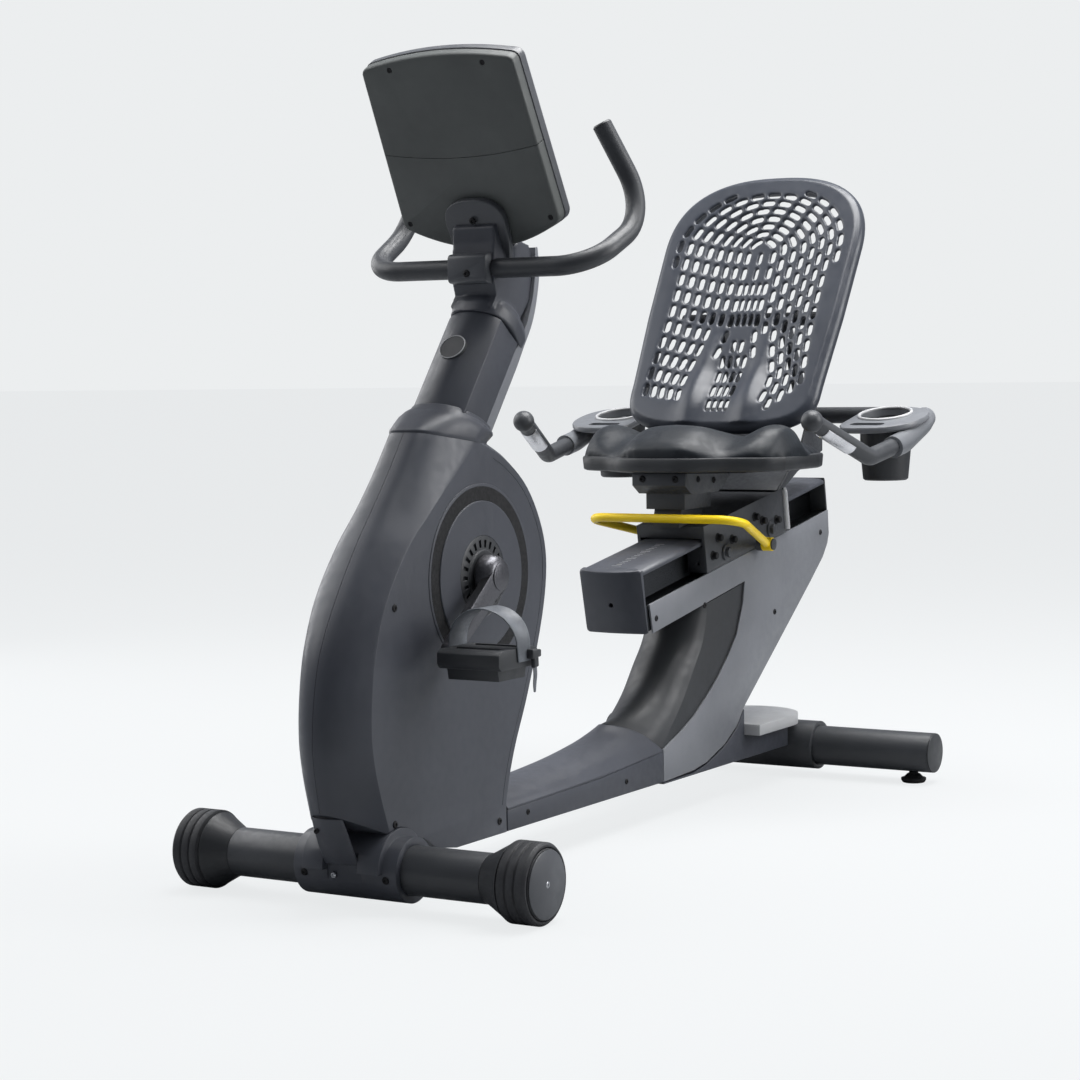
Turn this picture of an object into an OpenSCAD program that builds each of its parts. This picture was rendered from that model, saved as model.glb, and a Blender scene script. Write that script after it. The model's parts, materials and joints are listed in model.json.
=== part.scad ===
// Recumbent exercise bike: self-powered drive in a plastic shroud, leaning mast with a console,
// a slanted seat rail with a sliding seat carriage, and two floor stabilisers.
// Axes: +X is the rider's left, +Y runs from the shroud's nose to the seat, +Z is up, floor at Z 0.
// The lengths below are counted from the front stabiliser's axis; at_origin() then moves the whole
// bike so that the origin is the middle of its footprint on the floor.

/* [Base] */
// Diameter of both stabiliser tubes
tube_d = 76.2; // [60:0.1:90]
// Wall of the steel tubes
tube_wall = 2.6; // [1.5:0.1:4]
// Radius of the transport wheels, also the height of the front tube's axis
wheel_r = 61.7; // [50:0.1:70]
// Half length of the front stabiliser tube
front_half = 232; // [200:1:260]
// Distance between the two stabiliser axes
base_len = 1393; // [1300:1:1500]
// Height of the rear stabiliser's axis
rear_z = 59; // [50:1:70]
// Half length of the rear stabiliser tube, without its caps
rear_half = 352; // [300:1:380]
// Where the levelling feet stand, out from the middle
foot_x = 310; // [250:1:330]
// Half width of the shroud, beam and seat upright
body_half = 66; // [60:1:80]
// Wall of the plastic covers
wall = 3; // [2:0.5:4]

/* [Drive] */
// Crank centre behind the front axis
crank_y = 241; // [220:1:260]
// Crank centre above the floor
crank_z = 485; // [460:1:510]
// Crank arm length, centre to centre
crank_len = 172; // [165:1:175]
// Angle of the left crank arm below level, pointing to the nose
crank_tilt = 36.5; // [0:0.5:90]
// Radius of the large belt pulley
pulley_r = 100; // [80:1:110]
// Radius of the alternator's belt pulley
small_r = 22; // [18:1:30]
// Alternator centre behind the front axis
rotor_y = 30; // [20:1:50]
// Alternator centre above the floor
rotor_z = 300; // [280:1:320]
// Radius of the alternator's rotor
rotor_r = 85; // [70:1:90]

/* [Seat] */
// Slope of the seat rail, rising to the rear
rail_tilt = 9.4; // [5:0.1:15]
// Half width of the seat carriage
carriage_half = 70; // [68:1:80]
// Radius of the carriage rollers
roller_r = 26; // [20:0.5:26]
// Recline of the backrest from upright
recline = 31; // [20:1:40]
// Half width of the backrest
back_half = 213; // [190:1:230]
// Length of the backrest along its slope
back_len = 561; // [500:1:600]
// Diameter of the seat handle tube
handle_d = 32; // [28:1:36]
// Inner radius of the cup holders
cup_r = 45; // [40:1:50]

/* [Mast and console] */
// Lean of the mast from upright, to the rear
mast_lean = 38; // [30:1:45]
// Half width of the mast
mast_half = 50; // [45:1:60]
// Diameter of the handlebar
bar_d = 32; // [28:1:36]
// Lean of the console, top edge to the front
console_tilt = 27.1; // [15:0.1:40]
// Depth of the console's back shell
console_back_d = 20; // [15:1:30]

/* [Hidden] */
$fn = 64;
front_y = -122.4;
rear_y = 1549.2;
mid_y = (front_y + rear_y) / 2;
tube_r = tube_d / 2;
bar_r = bar_d / 2;
handle_r = handle_d / 2;
foot_r = 24;
rail_o = [0, 1150, 448.6];
mast_o = [0, 206, 756];
console_o = [0, 363, 1040];
back_o = [0, 1162, 700];
cup_o = [286, 1321, 710];
crank_o = [0, crank_y, crank_z];
crank_dir = [0, -cos(crank_tilt), -sin(crank_tilt)];
pedal_l = crank_o + crank_len * crank_dir;
pedal_rr = crank_o - crank_len * crank_dir;
lever_pivot = [0, 1215, 467];
lever_corner = [165, 955, 530];

// ---------------------------------------------------------------- placing
module at_origin() { translate([0, -mid_y, 0]) children(); }
module at_rail() { translate(rail_o) rotate([rail_tilt, 0, 0]) children(); }
module at_mast() { translate(mast_o) rotate([-mast_lean, 0, 0]) children(); }
module at_console() { translate(console_o) rotate([console_tilt, 0, 0]) children(); }
module at_back() { translate(back_o) rotate([-recline, 0, 0]) children(); }
module both() { children(); mirror([1, 0, 0]) children(); }

// ---------------------------------------------------------------- shapes
// box from one corner to the other
module box(a, b) { translate(a) cube(b - a); }
// side outline (y, z) drawn out from x0 to x1
module prof(pts, x0, x1) {
  translate([x0, 0, 0]) rotate([90, 0, 90]) linear_extrude(x1 - x0) polygon(pts);
}
// cylinder along X
module xcyl(r, x0, x1, y, z) { translate([x0, y, z]) rotate([0, 90, 0]) cylinder(r = r, h = x1 - x0); }
// turned part around X, outline as (radius, x)
module xturn(pts, y, z) { translate([0, y, z]) rotate([0, 90, 0]) rotate_extrude() polygon(pts); }
// front view outline (x, z) in a local frame, drawn from y0 to y1
module front(y0, y1) { translate([0, y1, 0]) rotate([90, 0, 0]) linear_extrude(y1 - y0) children(); }

function unit(v) = v / norm(v);
function cyc(i, n) = (i + n) % n;
// outline moved inward by d, for an outline that runs anticlockwise (outward for clockwise)
function inset(p, d) = let (n = len(p)) [for (i = [0 : n - 1]) let (
  a = unit(p[i] - p[cyc(i - 1, n)]), b = unit(p[cyc(i + 1, n)] - p[i]),
  m = [-(a[1] + b[1]), a[0] + b[0]], k = 1 + a[0] * b[0] + a[1] * b[1]) p[i] + m * d / max(k, 0.5)];
// outline with its corners rounded: r is one radius per corner, n steps each
function rounded(p, r, n = 6) = let (m = len(p)) [for (i = [0 : m - 1])
  let (a = unit(p[cyc(i - 1, m)] - p[i]), b = unit(p[cyc(i + 1, m)] - p[i]),
  half = acos(max(-1, min(1, a * b))) / 2, t = r[i] / tan(half), c = p[i] + unit(a + b) * r[i] / sin(half),
  s = p[i] + a * t, e = p[i] + b * t, u = s - c, v = e - c,
  turn = 180 - 2 * half, sg = (u[0] * v[1] - u[1] * v[0]) > 0 ? 1 : -1)
  for (k = [0 : n]) let (q = sg * turn * k / n)
  c + [u[0] * cos(q) - u[1] * sin(q), u[0] * sin(q) + u[1] * cos(q)]];

// solid through side outlines: xs are the stations, ps one (y, z) outline per station
function area(p) = let (n = len(p)) [for (i = [0 : n - 1]) let (q = p[cyc(i + 1, n)])
  p[i][0] * q[1] - p[i][1] * q[0]] * [for (i = p) 1];
module loft(xs, ps) {
  n = len(ps[0]);
  m = len(xs);
  s = area(ps[0]) > 0 ? 1 : -1;
  q = [for (j = [0 : m - 1]) for (i = [0 : n - 1]) let (k = s > 0 ? i : n - 1 - i)
    [xs[j], ps[j][k][0], ps[j][k][1]]];
  polyhedron(points = q, faces = tube_faces(n, m));
}
// faces of a closed tube of m rings with n points each, rings anticlockwise seen against the run
function tube_faces(n, m) = concat([[for (i = [0 : n - 1]) i]], [[for (i = [n - 1 : -1 : 0]) (m - 1) * n + i]],
  [for (j = [0 : m - 2]) for (i = [0 : n - 1]) let (k = (i + 1) % n) [(j + 1) * n + k, j * n + k, j * n + i]],
  [for (j = [0 : m - 2]) for (i = [0 : n - 1]) let (k = (i + 1) % n)
    [(j + 1) * n + i, (j + 1) * n + k, j * n + i]]);
// frame whose Z runs along d
function basis(d, o) = let (s = abs(d[2]) > 0.9 ? [1, 0, 0] : [0, 0, 1], u = unit(cross(s, d)), v = cross(d, u))
  [[u[0], v[0], d[0], o[0]], [u[1], v[1], d[1], o[1]], [u[2], v[2], d[2], o[2]], [0, 0, 0, 1]];
// bent round bar: straight runs between points, each inner point with a bend radius
function stations(p, bend) = let (n = len(p), d = [for (i = [0 : n - 2]) unit(p[i + 1] - p[i])]) concat(
  [[p[0], d[0]]], [for (i = [1 : 1 : n - 2]) let (phi = acos(d[i - 1] * d[i]), m = max(2, ceil(phi / 13)),
    a = p[i] - d[i - 1] * bend[i] * tan(phi / 2),
    c = p[i] + unit(d[i] - d[i - 1]) * bend[i] / cos(phi / 2), u = unit(a - c)) for (k = [0 : m])
    let (q = phi * k / m) [c + bend[i] * (u * cos(q) + d[i - 1] * sin(q)), d[i - 1] * cos(q) - u * sin(q)]],
  [[p[n - 1], d[n - 2]]]);
function square_to(u, d) = unit(u - d * (u * d));
module rod(p, bend, r, n = 22) {
  st = stations(p, bend);
  us = [for (i = 0, u = square_to([0.1, 0.2, 1], st[0][1]); i < len(st);
    i = i + 1, u = square_to(u, st[min(i, len(st) - 1)][1])) u];
  polyhedron(points = [for (j = [0 : len(st) - 1]) let (v = cross(st[j][1], us[j])) for (i = [0 : n - 1])
    let (a = 360 * i / n) st[j][0] + r * (us[j] * cos(a) + v * sin(a))], faces = tube_faces(n, len(st)));
}
// outline of a belt or bar around two circles in the side view
module span2d(c1, r1, c2, r2) {
  l = norm(c2 - c1);
  a = unit(c2 - c1);
  cb = (r1 - r2) / l;
  sb = sqrt(1 - cb * cb);
  n1 = [a[0] * cb - a[1] * sb, a[1] * cb + a[0] * sb];
  n2 = [a[0] * cb + a[1] * sb, a[1] * cb - a[0] * sb];
  translate(c1) circle(r1);
  translate(c2) circle(r2);
  polygon([c1 + r1 * n1, c2 + r2 * n1, c2 + r2 * n2, c1 + r1 * n2]);
}
module side(x0, x1) { translate([x0, 0, 0]) rotate([90, 0, 90]) linear_extrude(x1 - x0) children(); }

// ---------------------------------------------------------------- base
module front_stabiliser() color("#33363a") difference() {
  xcyl(tube_r, -front_half, front_half, 0, wheel_r);
  xcyl(tube_r - tube_wall, -front_half - 1, front_half + 1, 0, wheel_r);
}
// cone at each end of the front tube, plugged into it, with the wheel's axle
module wheel_collars() color("#2b2d30") both() xturn([[0, 200], [35.3, 200], [35.3, front_half + 0.2],
  [tube_r, front_half + 0.2], [tube_r + 1, front_half + 5], [57, front_half + 38], [59, front_half + 40.6],
  [6, front_half + 40.6], [6, front_half + 89.6], [9.5, front_half + 89.6], [9.5, front_half + 93],
  [0, front_half + 93]], 0, wheel_r);
module transport_wheel() {
  x = front_half + 41;
  xturn([[6.06, x], [56, x], [wheel_r, x + 4], [wheel_r, x + 15.5], [59.2, x + 17], [59.2, x + 18.5],
    [wheel_r, x + 20], [wheel_r, x + 31], [59.2, x + 32.5], [59.2, x + 34], [wheel_r, x + 35.5],
    [wheel_r, x + 47], [58, x + 51.5], [55, x + 51.5], [54, x + 49], [53.4, x + 49], [52.6, x + 53],
    [14, x + 54], [14, x + 48.4], [6.06, x + 48.4]], 0, wheel_r);
}
module transport_wheel_left() color("#26282b") transport_wheel();
module transport_wheel_right() color("#26282b") mirror([1, 0, 0]) transport_wheel();
// saddle around the front tube, with a higher arch beside the nose plate
module front_bracket() color("#2f3236") difference() {
  union() {
    xcyl(50, -94, 94, 0, wheel_r);
    intersection() {
      xcyl(62, -70, 70, 0, wheel_r);
      box([-70, -62, wheel_r], [70, 62, 130]);
    }
    box([-45, 0, 25], [45, 75, 104]);
  }
  xcyl(tube_r + 0.1, -100, 100, 0, wheel_r);
  prof([[-120, 40], [-47, 40], [-47, 78], [-97, 165], [-120, 165]], -31.6, 31.6);
  both() translate([75, -49.5, 53]) rotate([90, 0, 0]) cylinder(r = 6, h = 9, center = true);
}
module nose_plate() color("#34373c") difference() {
  prof([[-104, 149], [-60, 71], [-54.5, 74], [-98.5, 146.5]], -31, 31);
  translate([-20, -95, 128]) rotate([60, 0, 0]) cylinder(r = 4, h = 12, center = true);
}
// steel box beam with the saddle for the rear tube
module base_beam() color("#2b2d30") difference() {
  union() {
    box([-30, 75.1, 70], [30, base_len - 30, 118]);
    xcyl(47, -112, 112, base_len, rear_z);
  }
  box([-27, 60, 73], [27, base_len - 44, 115]);
  xcyl(tube_r + 0.1, -120, 120, base_len, rear_z);
}
module rear_stabiliser() color("#33363a") difference() {
  xcyl(tube_r, -rear_half, rear_half, base_len, rear_z);
  xcyl(tube_r - tube_wall, -rear_half - 1, rear_half + 1, base_len, rear_z);
  both() translate([foot_x, base_len, 10]) cylinder(r = 5.06, h = 20);
}
// rubber foot on a screw that turns in and out of the rear tube
module foot() {
  translate([foot_x, base_len, 0]) {
    cylinder(r1 = 21, r2 = foot_r, h = 5);
    translate([0, 0, 5]) cylinder(r = foot_r, h = 4);
    translate([0, 0, 9]) cylinder(r1 = 20, r2 = 12, h = 8);
    translate([0, 0, 17]) cylinder(r = 9, h = 3.4);
    cylinder(r = 5, h = 48);
  }
}
module foot_left() color("#1b1c1e") foot();
module foot_right() color("#1b1c1e") mirror([1, 0, 0]) foot();
// plastic covers over the steel beam: a tray below, a crowned roof above
lower_seam = [[836, 121], [813, 119.5], [616, 107.5], [414, 102.5], [309.8, 100.5]];
module beam_cover_lower() color("#3a3d42") difference() {
  union() {
    prof(concat([[309.8, 66], [836, 66]], lower_seam), -body_half, body_half);
    prof([[836.2, 62], [1345, 62], [1345, 107.5], [1157, 107.5], [1157, 158], [1127, 126], [1076, 98.5],
      [1001, 74.5], [952, 66], [836.2, 65]], -body_half, body_half);
  }
  box([-body_half + wall, 300, 69], [body_half - wall, 1350, 200]);
}
roof_x = [0, 30, 50, 58, body_half];
// bottom edge of the roof, and its start just behind the shroud
function roof_sole(y) = [[616, 108], [414, 103], [y, 101]];
roof = [
  concat([[321, 127.4], [420, 132], [560, 143], [660, 156], [710, 168], [735, 180], [735, 119.2]],
    roof_sole(321)),
  concat([[321, 124.4], [430, 129], [575, 139], [680, 152], [735, 163], [765, 171], [765, 119.6]],
    roof_sole(321)),
  concat([[317.5, 115.4], [440, 119], [590, 128], [700, 141], [752, 150], [790, 157], [790, 120]],
    roof_sole(317.5)),
  concat([[314.5, 109.2], [440, 112], [590, 120], [700, 131], [760, 139], [806, 145], [806, 120.5]],
    roof_sole(314.5)),
  concat([[310.5, 104], [440, 106.4], [600, 110.8], [720, 116.5], [790, 121.5], [834, 124.5], [834, 121.2]],
    roof_sole(310.5))];
roof_cavity = [[290, 80], [745, 80], [730, 142], [700, 136], [590, 124], [440, 115], [290, 111]];
// stations and outlines of one half, carried over to the other half
function twice_x(x) = concat([for (i = [len(x) - 1 : -1 : 1]) -x[i]], x);
function twice(p) = concat([for (i = [len(p) - 1 : -1 : 1]) p[i]], p);
module beam_cover_upper() color("#3a3d42") difference() {
  loft(twice_x(roof_x), twice(roof));
  prof(roof_cavity, -49, 49);
  box([-31, 290, 60], [31, 860, 118.6]);
}

// ---------------------------------------------------------------- shroud
nose_c = [[136, 718], [84, 649], [43, 600], [2, 552], [-58, 468], [-98, 395], [-116, 326], [-122, 255],
  [-115, 199], [-107, 156]];
nose_s = [[234, 700], [165, 643], [104, 594], [43, 545], [-18, 467], [-48, 395], [-60, 330], [-63, 265],
  [-52, 205], [-21, 116]];
tail_c = [[308, 66], [316, 121], [342, 194], [385, 278], [436, 402], [452, 487], [440, 551], [396, 623],
  [346, 670], [310, 691]];
tail_s = [[306, 66], [308, 121], [333, 195], [376, 280], [426, 403], [442, 486], [430, 548], [386, 617],
  [320, 665], [239, 697]];
sole = [[0, 106], [70, 96], [105, 75], [159, 66]];
shroud_k = [0, 0.2, 0.4, 0.6, 0.78, 0.92, 1];
function bulge(k) = pow(k, 1.8);
function shroud_at(k) = concat([for (i = [0 : 9]) nose_c[i] + (nose_s[i] - nose_c[i]) * bulge(k)], sole,
  [for (i = [0 : 9]) tail_c[i] + (tail_s[i] - tail_c[i]) * pow(k, 4)]);
module shroud() difference() {
  loft([for (k = shroud_k) 0.15 + k * (body_half - 0.15)], [for (k = shroud_k) shroud_at(k)]);
  translate([-1, 0, 0]) loft([for (k = shroud_k) k * (body_half - wall + 1)],
    [for (k = shroud_k) inset(shroud_at(k), wall)]);
  xcyl(62.8, -1, 80, 0, wheel_r);
  box([-1, -20, 60], [45.6, 82, 106]);
  box([-1, 60, 69], [30.6, 340, 118.6]);
  xcyl(34, 50, 80, crank_y, crank_z);
  at_mast() box([-1, -0.6, -70], [mast_half + 0.6, 91, 80]);
  at_mast() box([-1, 28, -160], [22, 76, 0]);
  prof([[-120, 60], [-45, 60], [-45, 80], [-96, 150.2], [-107, 152]], -1, 32);
}
module shroud_left() color("#3b3e43") shroud();
module shroud_right() color("#3b3e43") mirror([1, 0, 0]) shroud();
module mast_section(g) {
  intersection() {
    translate([0, 62.5]) circle(62.5 + g, $fn = 128);
    translate([-mast_half - g, -g - 1]) square([2 * mast_half + 2 * g, 63.5 + g]);
  }
  translate([-mast_half - g, 62]) square([2 * mast_half + 2 * g, 26 + g]);
}
// skirt where the mast comes out of the shroud
collar_foot = [[-63, 64], [-54, 34], [-30, 4], [0, -12], [30, 4], [54, 34], [63, 64], [66, 104], [62, 150],
  [50, 181], [-50, 181], [-62, 150], [-66, 104]];
module shroud_collar() color("#3e4146") difference() {
  hull() {
    translate([0, nose_c[0][0], nose_c[0][1] + 0.6]) rotate([-8.8, 0, 0]) linear_extrude(2)
      polygon(collar_foot);
    at_mast() translate([0, 0, -2]) rotate([17, 0, 0]) linear_extrude(2)
      polygon(rounded([[-mast_half - 4, 18], [-20, -4], [20, -4], [mast_half + 4, 18],
        [mast_half + 4, 117], [-mast_half - 4, 117]], [12, 30, 30, 12, 8, 8], 5));
  }
  at_mast() translate([0, 0, -80]) linear_extrude(200) {
    mast_section(0.4);
    translate([-46.4, 80]) square([92.8, 43]);
  }
}

// ---------------------------------------------------------------- crank and drive
// round cover around the crank: dark groove, raised disc, ring of small vents
module crank_covers() color("#303338") both() difference() {
  xturn([[13, 66.3], [146, 66.3], [146, 67.8], [127, 67.8], [125, 72], [84, 74], [80, 71.5], [60, 71.5],
    [56, 74], [26, 75], [24, 73], [13, 73]], crank_y, crank_z);
  for (a = [0 : 15 : 345]) translate(crank_o) rotate([a, 0, 0]) box([60, 63, -4], [80, 77, 4]);
}
// axle bearings: two for the crank, two for the alternator's shaft
module bearings() color("#b9bcc0") both() {
  difference() {
    xcyl(20, 21, 33, crank_y, crank_z);
    xcyl(8.53, 20, 34, crank_y, crank_z);
  }
  difference() {
    xcyl(16, 27, 33, rotor_y, rotor_z);
    xcyl(8.05, 26, 34, rotor_y, rotor_z);
  }
}
module crank_axle() color("#8a8d92") xcyl(8.5, -88, 88, crank_y, crank_z);
module drive_pulley() color("#1f2124") difference() {
  union() {
    xcyl(pulley_r, 40.5, 49.5, crank_y, crank_z);
    xcyl(22, 36, 54, crank_y, crank_z);
  }
  xcyl(8.5, 30, 60, crank_y, crank_z);
  difference() {
    xcyl(pulley_r - 7, 45.5, 55, crank_y, crank_z);
    xcyl(22, 44, 56, crank_y, crank_z);
  }
  for (a = [0 : 60 : 300]) translate(crank_o) rotate([a, 0, 0]) xcyl(17, 39, 50, 58, 0);
}
module arm(p) difference() {
  union() {
    side(90, 104) span2d([crank_y, crank_z], 21, [p[1], p[2]], 15);
    xcyl(19, 77, 91, crank_y, crank_z);
    xcyl(22, 103.5, 106, crank_y, crank_z);
    xcyl(6, 100, 211, p[1], p[2]);
  }
  xcyl(8.5, 70, 88.1, crank_y, crank_z);
}
module crank_arm_left() color("#54575d") arm(pedal_l);
module crank_arm_right() color("#54575d") mirror([1, 0, 0]) arm(pedal_rr);
// pedal body around its spindle, heavier below so that it hangs level
module pedal(p) difference() {
  translate([0, p[1], p[2]]) {
    prof(rounded([[-55, 3], [-46, 9], [42, 9], [55, 4], [54, -14], [48, -21], [-48, -21], [-55, -14]],
      [3, 4, 4, 3, 3, 4, 4, 3], 3), 110, 220);
    prof([[-42, -20], [40, -20], [35, -38], [-38, -38]], 119, 209);
  }
  xcyl(6.06, 105, 212, p[1], p[2]);
  translate([0, p[1], p[2]]) for (y = [-26, 26]) box([122, y - 9, 6], [208, y + 9, 12]);
}
module pedal_left() color("#26282b") pedal(pedal_l);
module pedal_right() color("#26282b") mirror([1, 0, 0]) pedal(pedal_rr);
// strap arched over the foot, with its buckle and loose tail
module strap(p) translate([0, p[1], p[2]]) {
  difference() {
    union() {
      translate([165, -20, 12]) rotate([-90, 0, 0]) cylinder(r = 57.8, h = 50, $fn = 96);
      box([107.2, -20, -16], [222.8, 30, 12]);
    }
    translate([165, -21, 12]) rotate([-90, 0, 0]) cylinder(r = 55.3, h = 52, $fn = 96);
    box([109.7, -21, -40], [220.3, 31, 12]);
    xcyl(6.8, 100, 115, 0, 0);
  }
  box([220.3, 20, -9], [234, 46, 6]);
  box([223, 30, -22], [230, 44, -9]);
  box([225, 33, -62], [226.6, 42, -22]);
}
module strap_left() color("#5b6068") strap(pedal_l);
module strap_right() color("#5b6068") mirror([1, 0, 0]) strap(pedal_rr);
module rotor() color("#6d7075") {
  xturn([[0, -36], [8, -36], [8, 16], [14, 16], [14, 20], [76, 20], [76, -24], [rotor_r, -24],
    [rotor_r, 24], [14, 24], [14, 25.5], [8, 25.5], [8, 40.8], [small_r, 40.8], [small_r, 49.2],
    [8, 49.2], [8, 52], [0, 52]], rotor_y, rotor_z);
}
// fixed winding inside the rotor's cup
module stator() color("#8c5a2e") xturn([[12, -26.8], [30, -26.8], [30, -22], [74, -22], [74, 16], [17, 16],
  [17, 14], [12, 14]], rotor_y, rotor_z);
// outline of the belt's run, d outside the pulleys
function belt_pts(d) = let (v = [rotor_y - crank_y, rotor_z - crank_z], l = norm(v), q = atan2(v[1], v[0]),
  b = acos((pulley_r - small_r) / l)) concat(
  [for (i = [0 : 40]) let (t = q + b + (360 - 2 * b) * i / 40)
    [crank_y, crank_z] + (pulley_r + d) * [cos(t), sin(t)]],
  [for (i = [0 : 14]) let (t = q - b + 2 * b * i / 14) [rotor_y, rotor_z] + (small_r + d) * [cos(t), sin(t)]]);
module drive_belt() color("#141516") difference() {
  prof(belt_pts(3.4), 41, 49);
  prof(belt_pts(0.5), 40, 50);
}

// ---------------------------------------------------------------- mast
function mast_pt(y, w) = [mast_o[1] + y * cos(mast_lean) + w * sin(mast_lean),
  mast_o[2] - y * sin(mast_lean) + w * cos(mast_lean)];
riser = [[150, 118.1], [192, 118.1], [262, 480], mast_pt(72, -10), mast_pt(72, 200), mast_pt(32, 200),
  mast_pt(32, -10), [220, 490]];
// bent steel tube from the beam to the head, with the crank's bearing shell and alternator plates
module mast_tube() color("#2b2d30") difference() {
  union() {
    difference() {
      prof(riser, -20, 20);
      prof(inset(riser, tube_wall), -20 + tube_wall, 20 - tube_wall);
    }
    xcyl(26, -34, 34, crank_y, crank_z);
    both() side(27, 33) {
      span2d([rotor_y, rotor_z], 24, [178, 316], 24);
    }
    box([-33, 176, 300], [33, 200, 332]);
  }
  both() xcyl(20.01, 21, 35, crank_y, crank_z);
  xcyl(17, -30, 30, crank_y, crank_z);
  both() xcyl(16.01, 26, 34, rotor_y, rotor_z);
}
// hollow cover, with a plain round badge
module mast_cover() color("#373a40") at_mast() difference() {
  union() {
    translate([0, 0, -18]) linear_extrude(204) mast_section(0);
    translate([0, 2.6, 118]) rotate([90, 0, 0]) cylinder(r = 17, h = 4);
  }
  translate([0, 0, -19]) linear_extrude(206) intersection() {
    mast_section(-wall);
    translate([-mast_half, 2]) square([2 * mast_half, 83]);
  }
}
module mast_rear_cover() color("#4a4d53") at_mast() difference() {
  translate([0, 0, 30]) linear_extrude(156)
    polygon(rounded([[-46, 88.3], [46, 88.3], [46, 106], [40, 122], [-40, 122], [-46, 106]],
      [1, 1, 10, 10, 10, 10], 4));
  translate([0, 0, 29]) linear_extrude(158)
    polygon([[-43, 88], [43, 88], [43, 105], [38, 119], [-38, 119], [-43, 105]]);
}
// cast head: sleeve over the mast, neck with the handlebar seat, tongue up the console's back
head = [mast_pt(8, 205), mast_pt(6, 230), [336, 947], [338, 992], [330, 1036], [312, 1073], [319, 1084],
  [336.4, 1090], [362.6, 1039.6], [381.4, 1001.2], [420, 1019], [452, 1018], [472, 1001], [466, 922],
  mast_pt(112, 212)];
module mast_head() color("#2f3236") difference() {
  union() {
    at_mast() translate([0, 0, 186.4]) linear_extrude(26) {
      mast_section(3);
      translate([-48, 86]) square([96, 30]);
    }
    prof(head, -38, 38);
    at_console() front(-24, -0.4) polygon(rounded([[-44, -30], [44, -30], [44, 40], [22, 56], [-22, 56],
      [-44, 40]], [4, 4, 14, 10, 10, 14], 4));
  }
  at_mast() box([-20.1, 31.9, 180], [20.1, 72.1, 200.2]);
  xcyl(bar_r + 0.05, -60, 60, 348, 970);
  box([-60, 300, 940], [60, 345, 1000.5]);
}
bar_path = [[-169, 466, 1198], [-229, 510, 1053], [-212, 348, 970], [212, 348, 970], [229, 510, 1053],
  [169, 466, 1198]];
module handlebar() color("#33363a") difference() {
  rod(bar_path, [0, 90, 70, 70, 90, 0], bar_r);
  for (s = [-1, 1]) multmatrix(basis(unit([-s * 60, -44, 145]), [s * 169, 466, 1198]))
    translate([0, 0, -14]) cylinder(r = bar_r - 3, h = 20);
}
module handlebar_clamp() color("#3e4146") difference() {
  prof(rounded([[318, 948], [344.6, 944], [344.6, 996], [318, 992]], [8, 1, 1, 8], 4), -30, 30);
  xcyl(bar_r + 0.05, -60, 60, 348, 970);
  translate([0, 318, 962]) rotate([90, 0, 0]) cylinder(r = 5, h = 10, center = true);
}

// ---------------------------------------------------------------- console
arc_n = 10;
function shell_pts(g) = rounded(concat(
  [for (i = [0 : arc_n]) let (x = -149 - g + (298 + 2 * g) * i / arc_n) [x, -42 - g + 42 * pow(x / 149, 2)]],
  [for (i = [0 : arc_n]) let (x = 142 + g - (284 + 2 * g) * i / arc_n) [x, 295 + g - 25 * pow(x / 142, 2)]]),
  [for (i = [0 : 2 * arc_n + 1]) (i == 0 || i == arc_n || i == arc_n + 1 || i == 2 * arc_n + 1) ? 12 : 0.5], 3);
function seam_z(x) = 118 + 14 * pow(x / 149, 2);
module above_seam(d) { polygon(concat([for (x = [-160 : 20 : 160]) [x, seam_z(x) + d]], [[170, 400], [-170, 400]])); }
module back_shell() difference() {
  front(0, console_back_d) polygon(shell_pts(0));
  front(wall, console_back_d + 1) polygon(shell_pts(-wall));
}
module console_back() color("#2c322f") at_console() intersection() {
  back_shell();
  front(-1, 60) above_seam(0.4);
}
module console_lower() color("#2c322f") at_console() difference() {
  back_shell();
  front(-1, 60) above_seam(-0.4);
  both() translate([136, 0, -2]) rotate([90, 0, 0]) cylinder(r = 2, h = 4, center = true);
}
module console_bezel() color("#4a4d52") at_console() difference() {
  front(console_back_d + 0.2, 40) polygon(shell_pts(2));
  front(console_back_d, 37) polygon(shell_pts(-1));
  front(30, 50) polygon(rounded([[-108, 92], [108, 92], [108, 250], [-108, 250]], [8, 8, 8, 8], 4));
  for (x = [-45, 0, 45]) translate([x, 50, 36]) rotate([90, 0, 0]) cylinder(r = 9.4, h = 20);
}
module display() color("#101214") at_console() box([-114, 33.8, 86], [114, 36.8, 256]);
module console_board() color("#1f5a3a") at_console() box([-118, 25, 10], [118, 26.6, 262]);
module button(x) at_console() translate([x, 0, 36]) {
  translate([0, 43, 0]) rotate([90, 0, 0]) cylinder(r = 9, h = 9);
  translate([0, 36.6, 0]) rotate([90, 0, 0]) cylinder(r = 11.5, h = 2.6);
}
module button_left() color("#c9ccd0") button(45);
module button_middle() color("#d8b21a") button(0);
module button_right() color("#c9ccd0") button(-45);

// ---------------------------------------------------------------- seat upright and rail
rail_f = -370;
rail_r = 392;
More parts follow.
